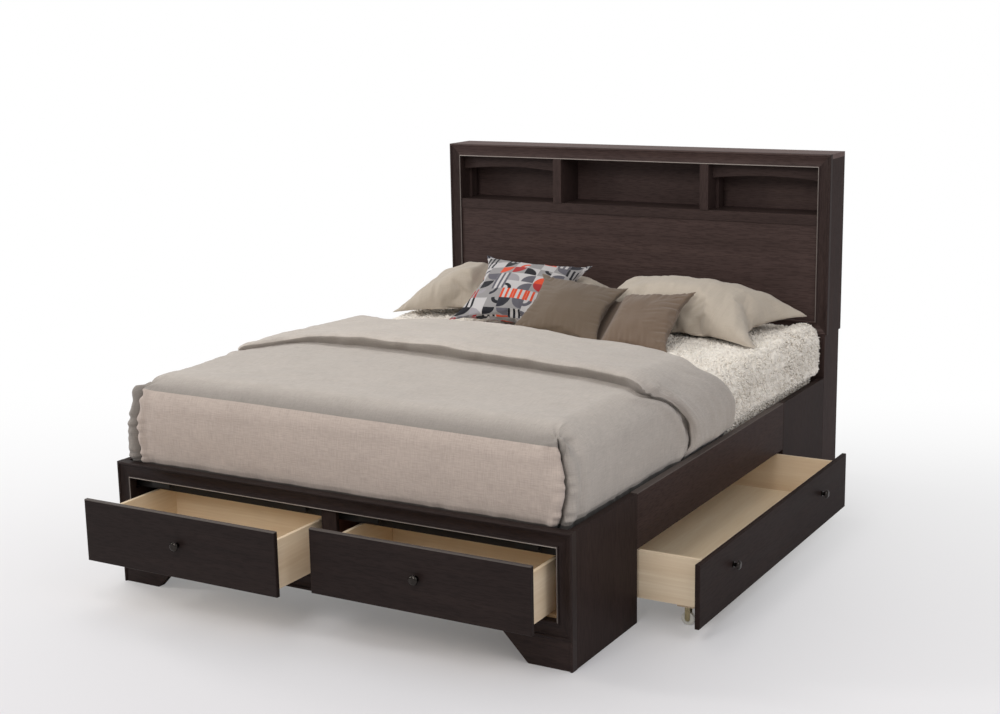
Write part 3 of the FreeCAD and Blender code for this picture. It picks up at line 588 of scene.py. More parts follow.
def makePiece(name, points, faces, material, uv=None, extra=()):
    # extra holds faces with another number of corners; uv has a pair for each corner of faces, in order.
    faceList = [list(face) for face in np.asarray(faces).tolist()] + [list(face) for face in extra]
    mesh = bpy.data.meshes.new(name)
    mesh.from_pydata(np.asarray(points, float).tolist(), [], faceList)
    if uv is not None:
        flat = np.zeros((len(mesh.loops), 2))
        flat[:len(uv)] = uv
        mesh.uv_layers.new(name="UVMap").data.foreach_set("uv", flat.ravel())
    mesh.shade_smooth()
    mesh.materials.append(material)
    return linked(name, mesh)


def acrossOf(at, box):
    # Place across the bed of points on the plain box, carried on down the sides.
    return np.sign(at[:, 0]) * (abs(at[:, 0]) + box["top"] - at[:, 2])


def onBox(across, along, box):
    # The point on the plain box for a place across the bed, carried on down the sides, and a place along it.
    down = np.maximum(abs(across) - box["half"], 0)
    return np.stack([np.clip(across, -box["half"], box["half"]), along, box["top"] - down], -1)


def roundedBox(at, box):
    # A point on a plain box moves onto ellipses at the edges; the normal is that of the ellipsoid there. The
    # upright edges have the corner's radius low down, and side and toe as radii near the top.
    half, foot, top = box["half"], box["foot"], box["top"]
    radiusX = box["corner"] + (box["side"] - box["corner"]) * smooth(top - 0.19, top - 0.09, at[:, 2])
    radiusY = box["corner"] + (box["toe"] - box["corner"]) * smooth(top - 0.19, top - 0.07, at[:, 2])
    nearFoot = smooth(foot + 0.35, foot + 0.12, at[:, 1])
    radiusZ = box["shoulder"] + (box["toeDrop"] - box["shoulder"]) * nearFoot
    centre = np.stack([
        np.clip(at[:, 0], -half + radiusX, half - radiusX),
        np.maximum(at[:, 1], foot + radiusY),
        np.minimum(at[:, 2], top - radiusZ),
    ], -1)
    if "head" in box:
        centre[:, 1] = np.minimum(centre[:, 1], box["head"] - radiusY)
    radius = np.stack([radiusX, radiusY, radiusZ], -1)
    share = unit((at - centre) / radius)
    return centre + share * radius, unit(share / radius)


def boxPatches(xs, ys, zs, far=False):
    # Grids on the top, the two sides and the foot of a box, and on its head if far is asked for.
    # ys gives the places along the bed for an array of places across it, as rows.
    half, top = xs[-1], zs[-1]
    patches = []
    across = ys(xs)
    grid = np.stack([np.broadcast_to(xs, across.shape), across, np.full(across.shape, top)], -1)
    patches.append((grid, grid[..., :2].copy()))
    for sign in (1, -1):
        drop = top - zs[::-1]
        along = ys(sign * (half + drop))
        height = np.broadcast_to(zs[::-1], along.shape)
        grid = np.stack([np.full(along.shape, sign * half), along, height], -1)
        uv = np.stack([sign * (half + top - height), along], -1)
        if sign < 0:
            grid, uv = grid[:, ::-1], uv[:, ::-1]
        patches.append((grid, uv))
    ends = [(ys(xs)[0], -1)]
    if far:
        ends.append((ys(xs)[-1], 1))
    for line, sign in ends:
        height = np.broadcast_to(zs[:, None], (len(zs), len(xs)))
        grid = np.stack([np.broadcast_to(xs, height.shape), np.broadcast_to(line, height.shape), height], -1)
        uv = np.stack([grid[..., 0], line[None] + sign * (top - height)], -1)
        if sign > 0:
            grid, uv = grid[:, ::-1], uv[:, ::-1]
        patches.append((grid, uv))
    points, faces, corners, start = [], [], [], 0
    for grid, uv in patches:
        rows, columns = grid.shape[:2]
        face = gridFaces(rows, columns)
        corners.append(uv.reshape(-1, 2)[face.ravel()])
        faces.append(face + start)
        points.append(grid.reshape(-1, 3))
        start += rows * columns
    points, faces, corners = np.concatenate(points), np.concatenate(faces), np.concatenate(corners)
    # Points that two grids share become one.
    _, first, back = np.unique(np.round(points, 6), axis=0, return_index=True, return_inverse=True)
    return points[first], back.reshape(-1)[faces], corners


def openEdges(faces):
    # Edges used by one face only, in that face's order.
    edges = np.concatenate([faces[:, [0, 1]], faces[:, [1, 2]], faces[:, [2, 3]], faces[:, [3, 0]]])
    key = np.sort(edges, 1)
    _, back, count = np.unique(key, axis=0, return_inverse=True, return_counts=True)
    return edges[count[back.reshape(-1)] == 1]


def shell(outer, inner, faces):
    # The outer sheet, the inner sheet turned over, and a strip along the open edges: a closed skin.
    edges = openEdges(faces)
    count = len(outer)
    strip = np.stack([edges[:, 1], edges[:, 0], edges[:, 0] + count, edges[:, 1] + count], -1)
    return np.concatenate([outer, inner]), np.concatenate([faces, faces[:, ::-1] + count, strip])


# Fluffy cover

coverBox = {
    "half": 0.778, "foot": -1.0885, "head": 0.965, "top": 0.600, "bottom": 0.345,
    "side": 0.05, "shoulder": 0.05, "corner": 0.06, "toe": 0.06, "toeDrop": 0.05,
}
shag = {
    "bump": 0.009,
    "bumpSize": 0.013,
    "bulge": 0.014,
    "bulgeAtHead": 0.019,
    "tufts": 34000,
    "length": 0.0095,
    "thickness": 0.0038,
    "downSides": 0.215,
    "underDuvet": 0.07,
    "tone": (0.875, 0.815, 0.735),
    "fill": 0.6,
}
# The two edges of the turned-back part of the duvet: place across the bed, carried on down the sides, and
# place along the bed.
headEdge = [
    (-1.10, 0.20), (-1.00, 0.215), (-0.90, 0.19), (-0.80, 0.175), (-0.70, 0.155), (-0.60, 0.085),
    (-0.52, 0.045), (-0.44, 0.045), (-0.35, 0.078), (-0.27, 0.092), (-0.174, 0.100), (-0.018, 0.085),
    (0.172, 0.030), (0.353, -0.014), (0.50, -0.031), (0.65, -0.081), (0.74, -0.125), (0.80, -0.135),
    (0.84, -0.100), (0.894, 0.000), (0.951, 0.074), (0.991, 0.100), (1.03, 0.100), (1.10, 0.060),
]
hemEdge = [
    (-1.10, -0.40), (-0.95, -0.42), (-0.86, -0.48), (-0.80, -0.56), (-0.74, -0.575), (-0.686, -0.535),
    (-0.633, -0.455), (-0.52, -0.430), (-0.38, -0.430), (-0.25, -0.435), (-0.09, -0.450), (0.07, -0.468),
    (0.22, -0.465), (0.38, -0.485), (0.54, -0.520), (0.69, -0.550), (0.75, -0.565), (0.795, -0.545),
    (0.837, -0.479), (0.876, -0.404), (0.919, -0.342), (0.974, -0.286), (1.029, -0.261), (1.065, -0.277),
    (1.10, -0.324),
]


def clearOf(across, y):
    # 0 on the sides where the duvet lies on the cover, 1 beyond its edge and everywhere on the top.
    edge = eased(headEdge, across, 0.03)
    onSide = smooth(coverBox["half"] - 0.06, coverBox["half"], abs(across))
    return 1 - onSide * smooth(edge + 0.03, edge - 0.03, y)


def bulgeAt(points, across):
    # The cover's sides swell out above the rails, more towards the head, and not under the duvet.
    side = smooth(0.70, 0.778, abs(points[:, 0])) * smooth(0.412, 0.442, points[:, 2])
    swell = shag["bulge"] + shag["bulgeAtHead"] * smooth(0.35, 0.75, points[:, 1])
    return side * swell * clearOf(across, points[:, 1]) * smooth(-0.2, 0.1, points[:, 1])


def shagCloth():
    # Ivory fluff: small flecks of light and dark over broad, faint patches.
    surface = Surface("shag", 0.95, Sheen_Weight=0.35, Sheen_Roughness=0.5, Specular_IOR_Level=0.2)
    place = surface.place()
    fleck = surface.noise(place, 130.0, 3.0, 0.6)
    patch = surface.noise(place, 9.0, 2.0)
    shares = ((0.34, 0.90), (0.5, 0.98), (0.64, 1.10))
    stops = [(where, scaled(shag["tone"], share)) for where, share in shares]
    shade = surface.ramp(fleck * 0.8 + patch * 0.2, stops)
    return surface.finish(colour=shade, normal=surface.bump(fleck, 0.6, 0.004))


def finishShag(piece):
    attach(piece, "bed")


def makeShag():
    # A rounded box with lumps of fluff where the duvet leaves it bare, closed by a second box inside it.
    box = coverBox
    # The rows lie close where the cover is bare.
    wide, close = np.linspace(box["foot"], -0.20, 34), np.arange(-0.195, box["head"] + 0.001, 0.0052)
    ends = np.concatenate([wide, close])
    ends[-1] = box["head"]
    xs = np.linspace(-box["half"], box["half"], 300)
    zs = np.linspace(box["bottom"], box["top"], 48)
    at, faces, uv = boxPatches(xs, lambda s: np.repeat(ends[:, None], len(s), 1), zs, far=True)
    points, normals = roundedBox(at, box)
    lump = cloudIn(points, shag["bumpSize"], 11) * 0.6 + cloudIn(points, shag["bumpSize"] * 0.5, 14) * 0.5
    broad = cloudIn(points, 0.09, 17)
    across = acrossOf(at, box)
    y, z = points[:, 1], points[:, 2]
    free = smooth(-0.25, -0.10, y) * smooth(0.40, 0.43, z) * clearOf(across, y)
    out = (abs(lump) * shag["bump"] * 1.6 + broad * 0.003 + bulgeAt(points, across)) * free
    points = points + normals * out[:, None]
    inner = np.stack([points[:, 0] * 0.985, points[:, 1] * 0.985, np.minimum(points[:, 2], 0.590)], -1)
    allPoints, allFaces = shell(points, inner, faces)
    material = shagCloth()
    cover = makePiece("fluffy_cover", allPoints, allFaces, material, uv)
    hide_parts("mattress_cover")
    finishShag(cover)
    makeTufts(material)


def makeTufts(material):
    # Each tuft is a three-sided spike: a ring at its root, a ring halfway and a bent tip.
    rng = np.random.default_rng(5)
    box, count = coverBox, shag["tufts"]
    reach = box["half"] + shag["downSides"]
    s = rng.uniform(-reach, reach, count * 3)
    y = rng.uniform(-0.25, box["head"] - 0.004, count * 3)
    # The tufts go on under the edge of the duvet on the top, but not on the sides, where it lies close.
    under = shag["underDuvet"] - 0.066 * smooth(box["half"] - 0.06, box["half"], abs(s))
    keep = y > eased(headEdge, s, 0.03) - under
    s, y = s[keep][:count], y[keep][:count]
    root, normal = roundedBox(onBox(s, y, box), box)
    root = root + normal * (bulgeAt(root, s) + 0.001)[:, None]
    lean = unit(normal + rng.normal(0, 0.55, root.shape))
    lean = unit(lean + normal * 0.5)
    bend = unit(rng.normal(0, 1, root.shape))
    length = (shag["length"] * rng.uniform(0.6, 1.35, len(root)))[:, None]
    middle = root + lean * length * 0.55
    tip = middle + unit(lean + bend * 0.8) * length * 0.6
    first = unit(np.cross(lean, bend))
    second = np.cross(lean, first)
    thick = (shag["thickness"] * rng.uniform(0.7, 1.3, len(root)))[:, None]
    rings = []
    for centre, wide in ((root, 1.0), (middle, 1.15)):
        for corner in (0, 1, 2):
            angle = corner * math.tau / 3
            rings.append(centre + (first * math.cos(angle) + second * math.sin(angle)) * thick * wide)
    points = np.stack(rings + [tip], 1)
    quads = np.array([(0, 1, 4, 3), (1, 2, 5, 4), (2, 0, 3, 5)])
    ends = np.array([(3, 4, 6), (4, 5, 6), (5, 3, 6), (0, 2, 1)])
    start = np.arange(len(root))[:, None, None] * points.shape[1]
    faces, endFaces = (quads + start).reshape(-1, 4), (ends + start).reshape(-1, 3)
    finishShag(makePiece("cover_tufts", points.reshape(-1, 3), faces, material, extra=endFaces.tolist()))


makeShag()
print("stage: fluffy cover")


# Duvet

duvetBox = {
    "half": 0.795, "foot": -1.1015, "top": 0.690, "bottom": 0.385,
    "side": 0.09, "shoulder": 0.10, "corner": 0.055, "toe": 0.12, "toeDrop": 0.10,
}
# Pairs are a height and a size. In threes they are a height, a place and a width, for hill.
duvet = {
    "camber": 0.014,
    "waves": ((0.0045, 0.30), (0.0022, 0.11), (0.0011, 0.030)),
    "streaks": (0.0012, 0.022),
    "tuckFolds": (0.0035, 0.03),
    "panelSwell": 0.006,
    "tuckSide": 0.008,
    "tuckFoot": 0.005,
    "hemGroove": (0.015, -0.006, 0.009),
    "hemSwell": (0.011, -0.050, 0.030),
    "fold": 0.047,
    "foldAtLeft": 0.020,
    "foldOnSide": 0.030,
    "foldAtHead": 0.018,
    "foldAtEnds": 0.003,
    "edgeRadius": 0.055,
    "edgeRadiusOnSide": 0.034,
    "fill": 0.7,
}
duvetTones = {
    "top": (0.420, 0.376, 0.338),
    # The paler tone is painted light on the left of the turned-back part.
    "litBand": (0.480, 0.430, 0.385),
    "foot": (0.430, 0.357, 0.312),
}
# The folds at the two foot corners. setIn and bow differ at the right, 1, and the left, -1.
crease = {
    "groove": (0.030, 0.0, 0.0046),
    "flap": (0.011, 0.027, 0.019),
    "valley": (-0.009, 0.070, 0.022),
    "footLip": (0.009, -0.020, 0.014),
    "ear": (0.012, 0.02, 0.035),
    "setIn": {1: 0.022, -1: 0.006},
    "bow": {1: 0.030, -1: 0.006},
    "sway": (0.0045, 0.024),
    "pucker": 0.0070,
    "wrinkles": (0.0022, 0.016),
    "fan": 0.0022,
    "ruffle": 0.011,
    "ridges": (0.004, 0.017),
}


def creaseAt(points, sign):
    # Distance across the corner crease, measured round the corner: below 0 on the foot, above 0 on the side.
    box = duvetBox
    x, y = points[:, 0] * sign - (box["half"] - box["corner"]), box["foot"] + box["corner"] - points[:, 1]
    turned = box["corner"] * np.arctan2(np.maximum(x, 0), np.maximum(y, 0)) - crease["setIn"][sign]
    z = points[:, 2]
    height, size = crease["sway"]
    bow = crease["bow"][sign] * np.sin(np.clip((0.668 - z) / 0.29, 0, 1) * math.pi)
    return np.minimum(x, 0) + turned + np.maximum(-y, 0) - bow - height * cloud(z, z * 0 + sign, size, 31)


def cornerFolds(points, normals, sign):
    # How far the cloth at one foot corner stands out: the crease between its lips, puckers across it, and
    # short folds that fan out from its upper end.
    x, y, z = points.T
    across = creaseAt(points, sign)
    onThisSide = x * sign > 0.5
    depth = smooth(0.652, 0.636, z) * onThisSide * (y < -0.85)
    ear = hill(across, *crease["ear"]) * hill(z, 1, 0.640, 0.03) * (y < -0.9) * onThisSide
    # The side panel's edge stands proud of the foot panel as a flap, with a shallow valley behind.
    flap = hill(across, *crease["flap"]) + hill(across, *crease["valley"])
    lips = np.where(across > 0, flap, hill(across, *crease["footLip"]))
    turn = z / 0.0115 + 2.2 * cloud(z, z * 0 + 3, 0.05, 71) + np.sign(across)
    pucker = crease["pucker"] * np.sin(turn * 2.0) * np.exp(-abs(across) / 0.017)
    out = ear + (lips - hill(across, *crease["groove"]) + pucker) * depth
    # Upright wrinkles on the foot beside the crease.
    height, size = crease["wrinkles"]
    beside = np.exp(-abs(across + 0.05) / 0.045) * (across < 0) * depth
    out = out + height * cloud(x, z * 0.22, size, 75) * beside
    fanX, fanY = x * sign - 0.752, y - duvetBox["foot"] - 0.030
    fan = np.sin(np.arctan2(fanY, fanX) * 11 + 1.5 * cloud(fanX, fanY, 0.06, 79))
    away = np.hypot(fanX, fanY)
    out = out + crease["fan"] * fan * np.exp(-away / 0.060) * smooth(0, 0.02, away) * (normals[:, 2] > 0.3)
    if sign < 0:
        # The left corner's flap is ruffled.
        height, size = crease["ridges"]
        roll = smooth(0.0, 0.014, across) * smooth(0.12, 0.06, across) * depth
        out = out + roll * (crease["ruffle"] + height * cloud(across * 0.35, z, size, 77))
    return out


def laidSurface(at):
    # The rounded box, sunk towards its sides, with waves, a tucked-in lower edge, a groove under the
    # turned-back hem and folds at the foot corners.
    box = duvetBox
    points, normals = roundedBox(at, box)
    x, y, z = points.T
    out = -duvet["camber"] * (x / box["half"]) ** 2 * normals[:, 2]
    for number, (height, size) in enumerate(duvet["waves"]):
        out = out + height * cloudIn(points, size, 41 + number * 5) * smooth(0.385, 0.46, z)
    # Fine folds run across the bed on the top.
    height, size = duvet["streaks"]
    out = out + height * cloud(x * 0.25 + 3, y - x * 0.06, size, 57) * smooth(0.6, 0.9, normals[:, 2])
    # Low folds where the cloth is tucked in along the bottom.
    height, size = duvet["tuckFolds"]
    low = np.exp(-np.maximum(z - 0.40, 0) / 0.035)
    out = out + height * cloud(x + y * 1.3, z * 0.3, size, 61) * low * smooth(0.385, 0.40, z)
    # The foot panel and the side panels swell a little between their edges, and are tucked in at the bottom.
    lift = np.sin(np.clip((z - 0.40) / 0.25, 0, 1) * math.pi)
    out = out + duvet["panelSwell"] * lift * (abs(normals[:, 2]) < 0.9)
    tucked = duvet["tuckSide"] * abs(normals[:, 0]) + duvet["tuckFoot"] * abs(normals[:, 1])
    out = out - tucked * smooth(0.424, 0.406, z)
    # A groove runs under the turned-back hem, deep on the sides, and the cloth swells before it.
    across = acrossOf(at, box)
    fromHem = at[:, 1] - eased(hemEdge, across, 0.02)
    onSide = 0.25 + 0.75 * smooth(0.73, 0.82, abs(across))
    out = out + hill(fromHem, *duvet["hemSwell"]) * smooth(0.70, 0.80, abs(across))
    out = out - hill(fromHem, *duvet["hemGroove"]) * onSide
    for sign in (1, -1):
        out = out + cornerFolds(points, normals, sign)
    return points + normals * out[:, None], normals


def duvetCloth():
    # Greige cloth with slubs both ways, a pinker panel on the foot, and painted light on the turned-back
    # part.
    surface = Surface("duvet_cloth", 0.9, Sheen_Weight=0.18, Sheen_Roughness=0.6, Specular_IOR_Level=0.2)
    place = surface.uv()
    u, v, w = surface.axes(place)
    foot = duvetBox["foot"]
    warp = surface.noise(surface.stretched(place, (28, 330, 1)), 1.0, 4.0)
    weft = surface.noise(surface.stretched(place, (330, 28, 1)), 1.0, 4.0)
    slubs = warp + weft
    level = slubs * 0.42 + surface.noise(place, 7.0, 3.0) * 0.16
    top, litBand, panel = (
        surface.ramp(level, shades(duvetTones[key], 0.12, 0.12, (0.38, 0.5, 0.62))) for key in duvetTones
    )
    # On the map the turned-back part starts at 3 from its hem. Its left part is painted paler as painted
    # light.
    top = surface.mix((v > 2.5) * ((0.62 - u) * 1.6).clamped(), top, litBand)
    # Painted shade: just above the seam, where the cloth dips, and on the front of the turned-back hem, with
    # a darker line at its foot.
    above = ((foot + 0.085 - v) * 7.5).clamped() * (v > -2) * 0.55
    hemFrontShade = (v > 2.995) * (v < 3.062) * 0.32 + (v > 2.995) * (v < 3.009) * 0.45
    top = surface.mix(above + hemFrontShade, top, scaled(duvetTones["top"], 0.22))
    # The foot panel is below the seam line and between the corner creases.
    below = surface.maths("LESS_THAN", v + u * 0.012, foot - 0.045)
    colour = surface.mix(below * (surface.attribute("beside") < 0), top, panel)
    # In the narrow gap beside the rails and the footboard the cloth is in the dark.
    height = surface.axes(surface.place())[2]
    colour = surface.mix(((0.4095 - height) * 260.0).clamped() * 0.90, colour, tone(*gapTone))
    return surface.finish(colour=colour, normal=surface.bump(slubs, 0.5, 0.0016))


def duvetRows(s):
    # The first stretch has close rows; then they spread out to a line under the turned-back edge.
    near = duvetBox["foot"] + np.concatenate([np.linspace(0, 0.08, 36)[:-1], np.linspace(0.08, 0.22, 22)])
    share = np.concatenate([np.linspace(0, 0.62, 52)[1:], np.linspace(0.62, 1, 12)[1:]])[:, None]
    end = eased(headEdge, s, 0.03) - 0.075
    return np.concatenate([np.repeat(near[:, None], len(s), 1), near[-1] + share * (end - near[-1])[None]])


def makeDuvet():
    # The laid part is closed by a rounded box inside it. The turned-back part lies on it as a closed body
    # of its own.
    box, within = duvetBox, dict(coverBox, top=0.601, half=0.7785, foot=-1.089)
    fine = np.concatenate([np.linspace(0, 0.68, 62)[:-1], np.linspace(0.68, box["half"], 54)])
    xs = np.concatenate([-fine[:0:-1], fine])
    zs = np.concatenate([np.linspace(box["bottom"], 0.60, 48)[:-1], np.linspace(0.60, box["top"], 18)])
    at, faces, uv = boxPatches(xs, duvetRows, zs)
    outer, normals = laidSurface(at)
    # Above 0.45 the heights are drawn together, so that the inner box ends at its own lower top.
    x, y, z = at.T
    inside = np.stack([
        x * within["half"] / box["half"],
        np.where(y <= box["foot"] + 1e-6, within["foot"], np.maximum(y, within["foot"])),
        np.where(z > 0.45, 0.45 + (z - 0.45) * (within["top"] - 0.45) / (box["top"] - 0.45), z),
    ], -1)
    laidPoints, laidFaces = shell(outer, roundedBox(inside, within)[0], faces)
    bandPoints, bandFaces, bandUv, caps = makeBand()
    count = len(laidPoints)
    uvAll = np.zeros((len(laidFaces) * 4 + len(bandUv), 2))
    uvAll[:len(uv)] = uv
    uvAll[len(laidFaces) * 4:] = bandUv
    points = np.concatenate([laidPoints, bandPoints])
    allFaces = np.concatenate([laidFaces, bandFaces + count])
    piece = makePiece("duvet_laid", points, allFaces, duvetCloth(), uvAll, (caps + count).tolist())
    # Below 0 between the two creases, for the cloth's colours.
    beside = np.zeros(len(points))
    fromCrease = np.maximum(creaseAt(outer, 1), creaseAt(outer, -1)) + 0.001
    beside[:count] = np.tile(np.clip(fromCrease, -0.02, 0.02), 2)
    piece.data.attributes.new("beside", "FLOAT", "POINT").data.foreach_set("value", beside)
    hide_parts("duvet")
    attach(piece, "bed")


def makeBand():
    # The turned-back part: a closed section along the bed, a rolled hem, the upper face, the fold and an
    # underside inside the duvet, repeated for each place across the bed and laid on the duvet's surface.
    box = duvetBox
    reach = box["half"] + box["top"] - 0.396
    s = np.linspace(-reach, reach, 300)
    steep = smooth(box["half"] - 0.06, box["half"] + 0.07, abs(s))
    low = smooth(reach - 0.05, reach, abs(s))
    hem = eased(hemEdge, s, 0.02) + 0.004 * cloud(s, s * 0, 0.05, 81)
    head = eased(headEdge, s, 0.03)
    thick = duvet["fold"] + (duvet["foldAtLeft"] - duvet["fold"]) * smooth(-0.3, -0.72, s)
    thick = thick * (1 - steep) + duvet["foldOnSide"] * steep
    thick = thick * (1 - low) + duvet["foldAtEnds"] * low
    depth = 0.088 * (1 - steep) + 0.016 * steep
    edge = duvet["edgeRadius"] * (1 - steep) + duvet["edgeRadiusOnSide"] * steep
    angles = np.linspace(-math.pi / 2, -math.pi * 1.5, 21)[None]
    roll = (thick * 0.53)[:, None]
    # The hem's front is a rounded square, so that it stands up steeply and turns over softly.
    rollY = hem[:, None] + roll * (1.15 - 1.15 * abs(np.cos(angles)) ** 0.5)
    rollN = roll * (1 + np.sign(np.sin(angles)) * abs(np.sin(angles)) ** 0.55)
    # The top of the hem stands forward over its foot.
    rollY = rollY - 0.70 * (rollN - roll) * smooth(0, 1, abs(np.cos(angles)))
    share = np.linspace(0, 1, 60)[1:-1][None]
    flatStart, flatEnd = rollY[:, -1:], (head - edge)[:, None]
    flatY = flatStart + share * (flatEnd - flatStart)
    distance = flatY - flatStart
    atHead = np.minimum(thick, duvet["foldAtHead"] * smooth(-0.78, -0.2, s) + 0.002)[:, None]
    # The upper face is highest just behind the hem, dips, and sinks towards the fold.
    flatN = thick[:, None] * (1 + hill(distance, 0.06, 0, 0.05) - hill(distance, 0.05, 0.09, 0.05))
    flatN = flatN + (atHead - thick[:, None]) * smooth(0.15, 1, share)
    turn = np.linspace(math.pi / 2, -math.pi / 2, 19)[None]
    middle, reachN = (atHead - depth[:, None]) / 2, (atHead + depth[:, None]) / 2
    foldY = (head - edge)[:, None] + edge[:, None] * np.cos(turn)
    foldN = middle + reachN * np.sign(np.sin(turn)) * abs(np.sin(turn)) ** 0.85
    backY = np.stack([head - edge - 0.03, head - edge - 0.06, hem + roll[:, 0] + 0.05], -1)
    backN = np.stack([-depth, -depth * 0 - 0.006, -depth * 0 - 0.006], -1)
    along = np.concatenate([rollY, flatY, foldY, backY], 1)
    above = np.concatenate([rollN - 0.002, flatN, foldN, backN], 1)
    rows, columns = along.shape
    points, normals = laidSurface(onBox(np.repeat(s[:, None], columns, 1), along, box).reshape(-1, 3))
    lift = above.reshape(-1)
    x, fromHem = np.repeat(s, columns), (along - hem[:, None]).reshape(-1)
    soft = 0.0030 * cloud(x, along.reshape(-1) * 1.4, 0.16, 91)
    # Long shallow folds run beside the hem, and others run up from the tucked ends on the sides.
    soft = soft + 0.0024 * cloud(x * 0.22, fromHem, 0.024, 94)
    down = smooth(box["half"] - 0.05, reach, abs(x))
    soft = soft + 0.0042 * down * cloud(fromHem, x * 0.25, 0.034, 95)
    # The hem is bunched where it turns down the right side.
    bunch = hill(x, 0.014, 0.815, 0.040) * hill(fromHem, 1, 0.012, 0.035)
    soft = soft + bunch * cloud(x * 1.2 + fromHem * 0.6, fromHem, 0.012, 97)
    points = points + normals * (lift + soft * np.clip(lift / 0.02, 0, 1))[:, None]
    faces = gridFaces(rows, columns, True)[:, ::-1]
    vAlong = np.concatenate([[0], np.cumsum(np.hypot(np.diff(along[rows // 2]), np.diff(above[rows // 2])))])
    index = np.arange(rows * columns)
    uvPoint = np.stack([s[index // columns], 3 + vAlong[index % columns]], -1)
    caps = np.stack([index[:columns], index[-columns:][::-1]])
    return points, faces, uvPoint[faces.ravel()], caps


makeDuvet()
print("stage: duvet")


# Pillows and cushions

# size is width, height and thickness. angles are the turn about the vertical, after the rise of the upper
# edge, after the roll in its own plane. flat is how much of the filling lies under the seam, 1 being half.
# behind names the cushions in front that press on it, with the gap and the slope of the dent. wrinkle is the
# height, reach and width of the puckers along the seam, and the height of the dents.
restingPillow = {
    "full": 0.85, "wrinkle": (0.0060, 0.090, 0.016, 0.0030), "pressure": 3.0, "slot": "cream_cloth",
    "sinksTo": 0.604, "softness": 0.016,
}
smallCushion = {
    "flat": 1.0, "full": 1.0, "ears": 0.03, "pressure": 2.6, "sinksTo": 0.590, "softness": 0.008,
}
cushions = {
    "sleeping_pillow_right": {
        **restingPillow,
        "size": (0.820, 0.475, 0.185), "centre": (0.354, 0.692, 0.646), "angles": (-3, 4.5, 0), "flat": 0.30,
        "behind": ("cushion_dark", "cushion_light"), "thinCorners": 0.4, "thinFront": 0.45, "slope": 2.5,
        "drawn": (0.08, 0.02), "ears": 0.03, "tone": (0.445, 0.385, 0.316),
    },
    "sleeping_pillow_left": {
        **restingPillow,
        "size": (0.810, 0.475, 0.165), "centre": (-0.404, 0.702, 0.657), "angles": (3, 4.5, 0), "flat": 0.16,
        "behind": ("cushion_patterned",), "thinCorners": 0.3, "thinFront": 0.20, "slope": 4.0,
        "drawn": (0.03, 0.02), "ears": 0.02, "tone": (0.420, 0.362, 0.296),
    },
    "cushion_patterned": {
        **smallCushion,
        "size": (0.451, 0.444, 0.112), "centre": (-0.2827, 0.5908, 0.7199), "angles": (16.1, 26.25, -7.9),
        "behind": ("cushion_light",), "domed": 0.35, "wrinkle": (0.0040, 0.050, 0.013, 0.0030),
        "drawn": (0.03, 0.03), "slot": "printed_cloth", "tone": (0.50, 0.48, 0.48),
    },
    "cushion_light": {
        **smallCushion,
        "size": (0.3466, 0.3559, 0.093), "centre": (0.0240, 0.4049, 0.7102), "angles": (21.7, 28.0, -15.5),
        "domed": 0.45, "wrinkle": (0.0040, 0.050, 0.011, 0.0035),
        "drawn": (0.02, 0.02), "slot": "light_taupe_cloth", "tone": (0.127, 0.090, 0.060),
    },
    "cushion_dark": {
        **smallCushion,
        "size": (0.3717, 0.3615, 0.100), "centre": (0.2954, 0.4000, 0.6798), "angles": (-5.57, 29.05, 8.65),
        "behind": ("cushion_light",), "slope": 2.0, "domed": 0.40, "wrinkle": (0.0070, 0.060, 0.011, 0.0040),
        "drawn": (0.02, 0.02), "slot": "dark_taupe_cloth", "tone": (0.146, 0.099, 0.067),
    },
}
# What holds for all of them: the cut before it is filled, the cloth, and the panel they lean on.
filling = {
    "frames": 30,
    "cutWide": 1.04,
    "cutHigh": 1.05,
    "cutLoft": 0.35,
    "stiffness": 30,
    "roundness": 0.42,
    "gap": 0.004,
    "board": 0.965,
    "touch": 0.005,
    "droop": 0.012,
    "fill": 0.75,
}
printed = {
    "tile": 0.052,
    "inks": [
        (0.0, (28, 28, 34)), (0.34, (92, 90, 98)), (0.5, (44, 44, 52)), (0.66, (150, 146, 150)),
        (0.74, (206, 74, 42)), (0.9, (160, 42, 44)),
    ],
}


def outlineCut(width, height, loft, drawn, ears, step):
    # Two panels on one grid. The sides curve in by drawn and the corners stand out by ears.
    columns, rows = int(width / step) | 1, int(height / step) | 1
    u, v = np.meshgrid(np.linspace(-1, 1, columns), np.linspace(-1, 1, rows))
    corner = (abs(u) * abs(v)) ** 6
    x = u * width / 2 * (1 - drawn[0] * (1 - v * v) * abs(u) + ears * corner)
    y = v * height / 2 * (1 - drawn[1] * (1 - u * u) * abs(v) + ears * corner)
    bulge = loft / 2 * ((1 - u ** 2) * (1 - v ** 2)) ** filling["roundness"]
    front = np.stack([x, y, bulge + 0.0005], -1).reshape(-1, 3)
    back = np.stack([x, y, -bulge], -1).reshape(-1, 3)
    # The two panels share the points of the rim.
    rim = ((abs(u) > 0.9999) | (abs(v) > 0.9999)).reshape(-1)
    backIndex = np.where(rim, np.arange(rows * columns), -1)
    backIndex[~rim] = rows * columns + np.arange((~rim).sum())
    faces = gridFaces(rows, columns)
    flat = np.stack([x, y], -1).reshape(-1, 2)
    uv = np.concatenate([flat[faces.ravel()], flat[faces[:, ::-1].ravel()] + 2.0])
    return np.concatenate([front, back[~rim]]), np.concatenate([faces, backIndex[faces[:, ::-1]]]), uv


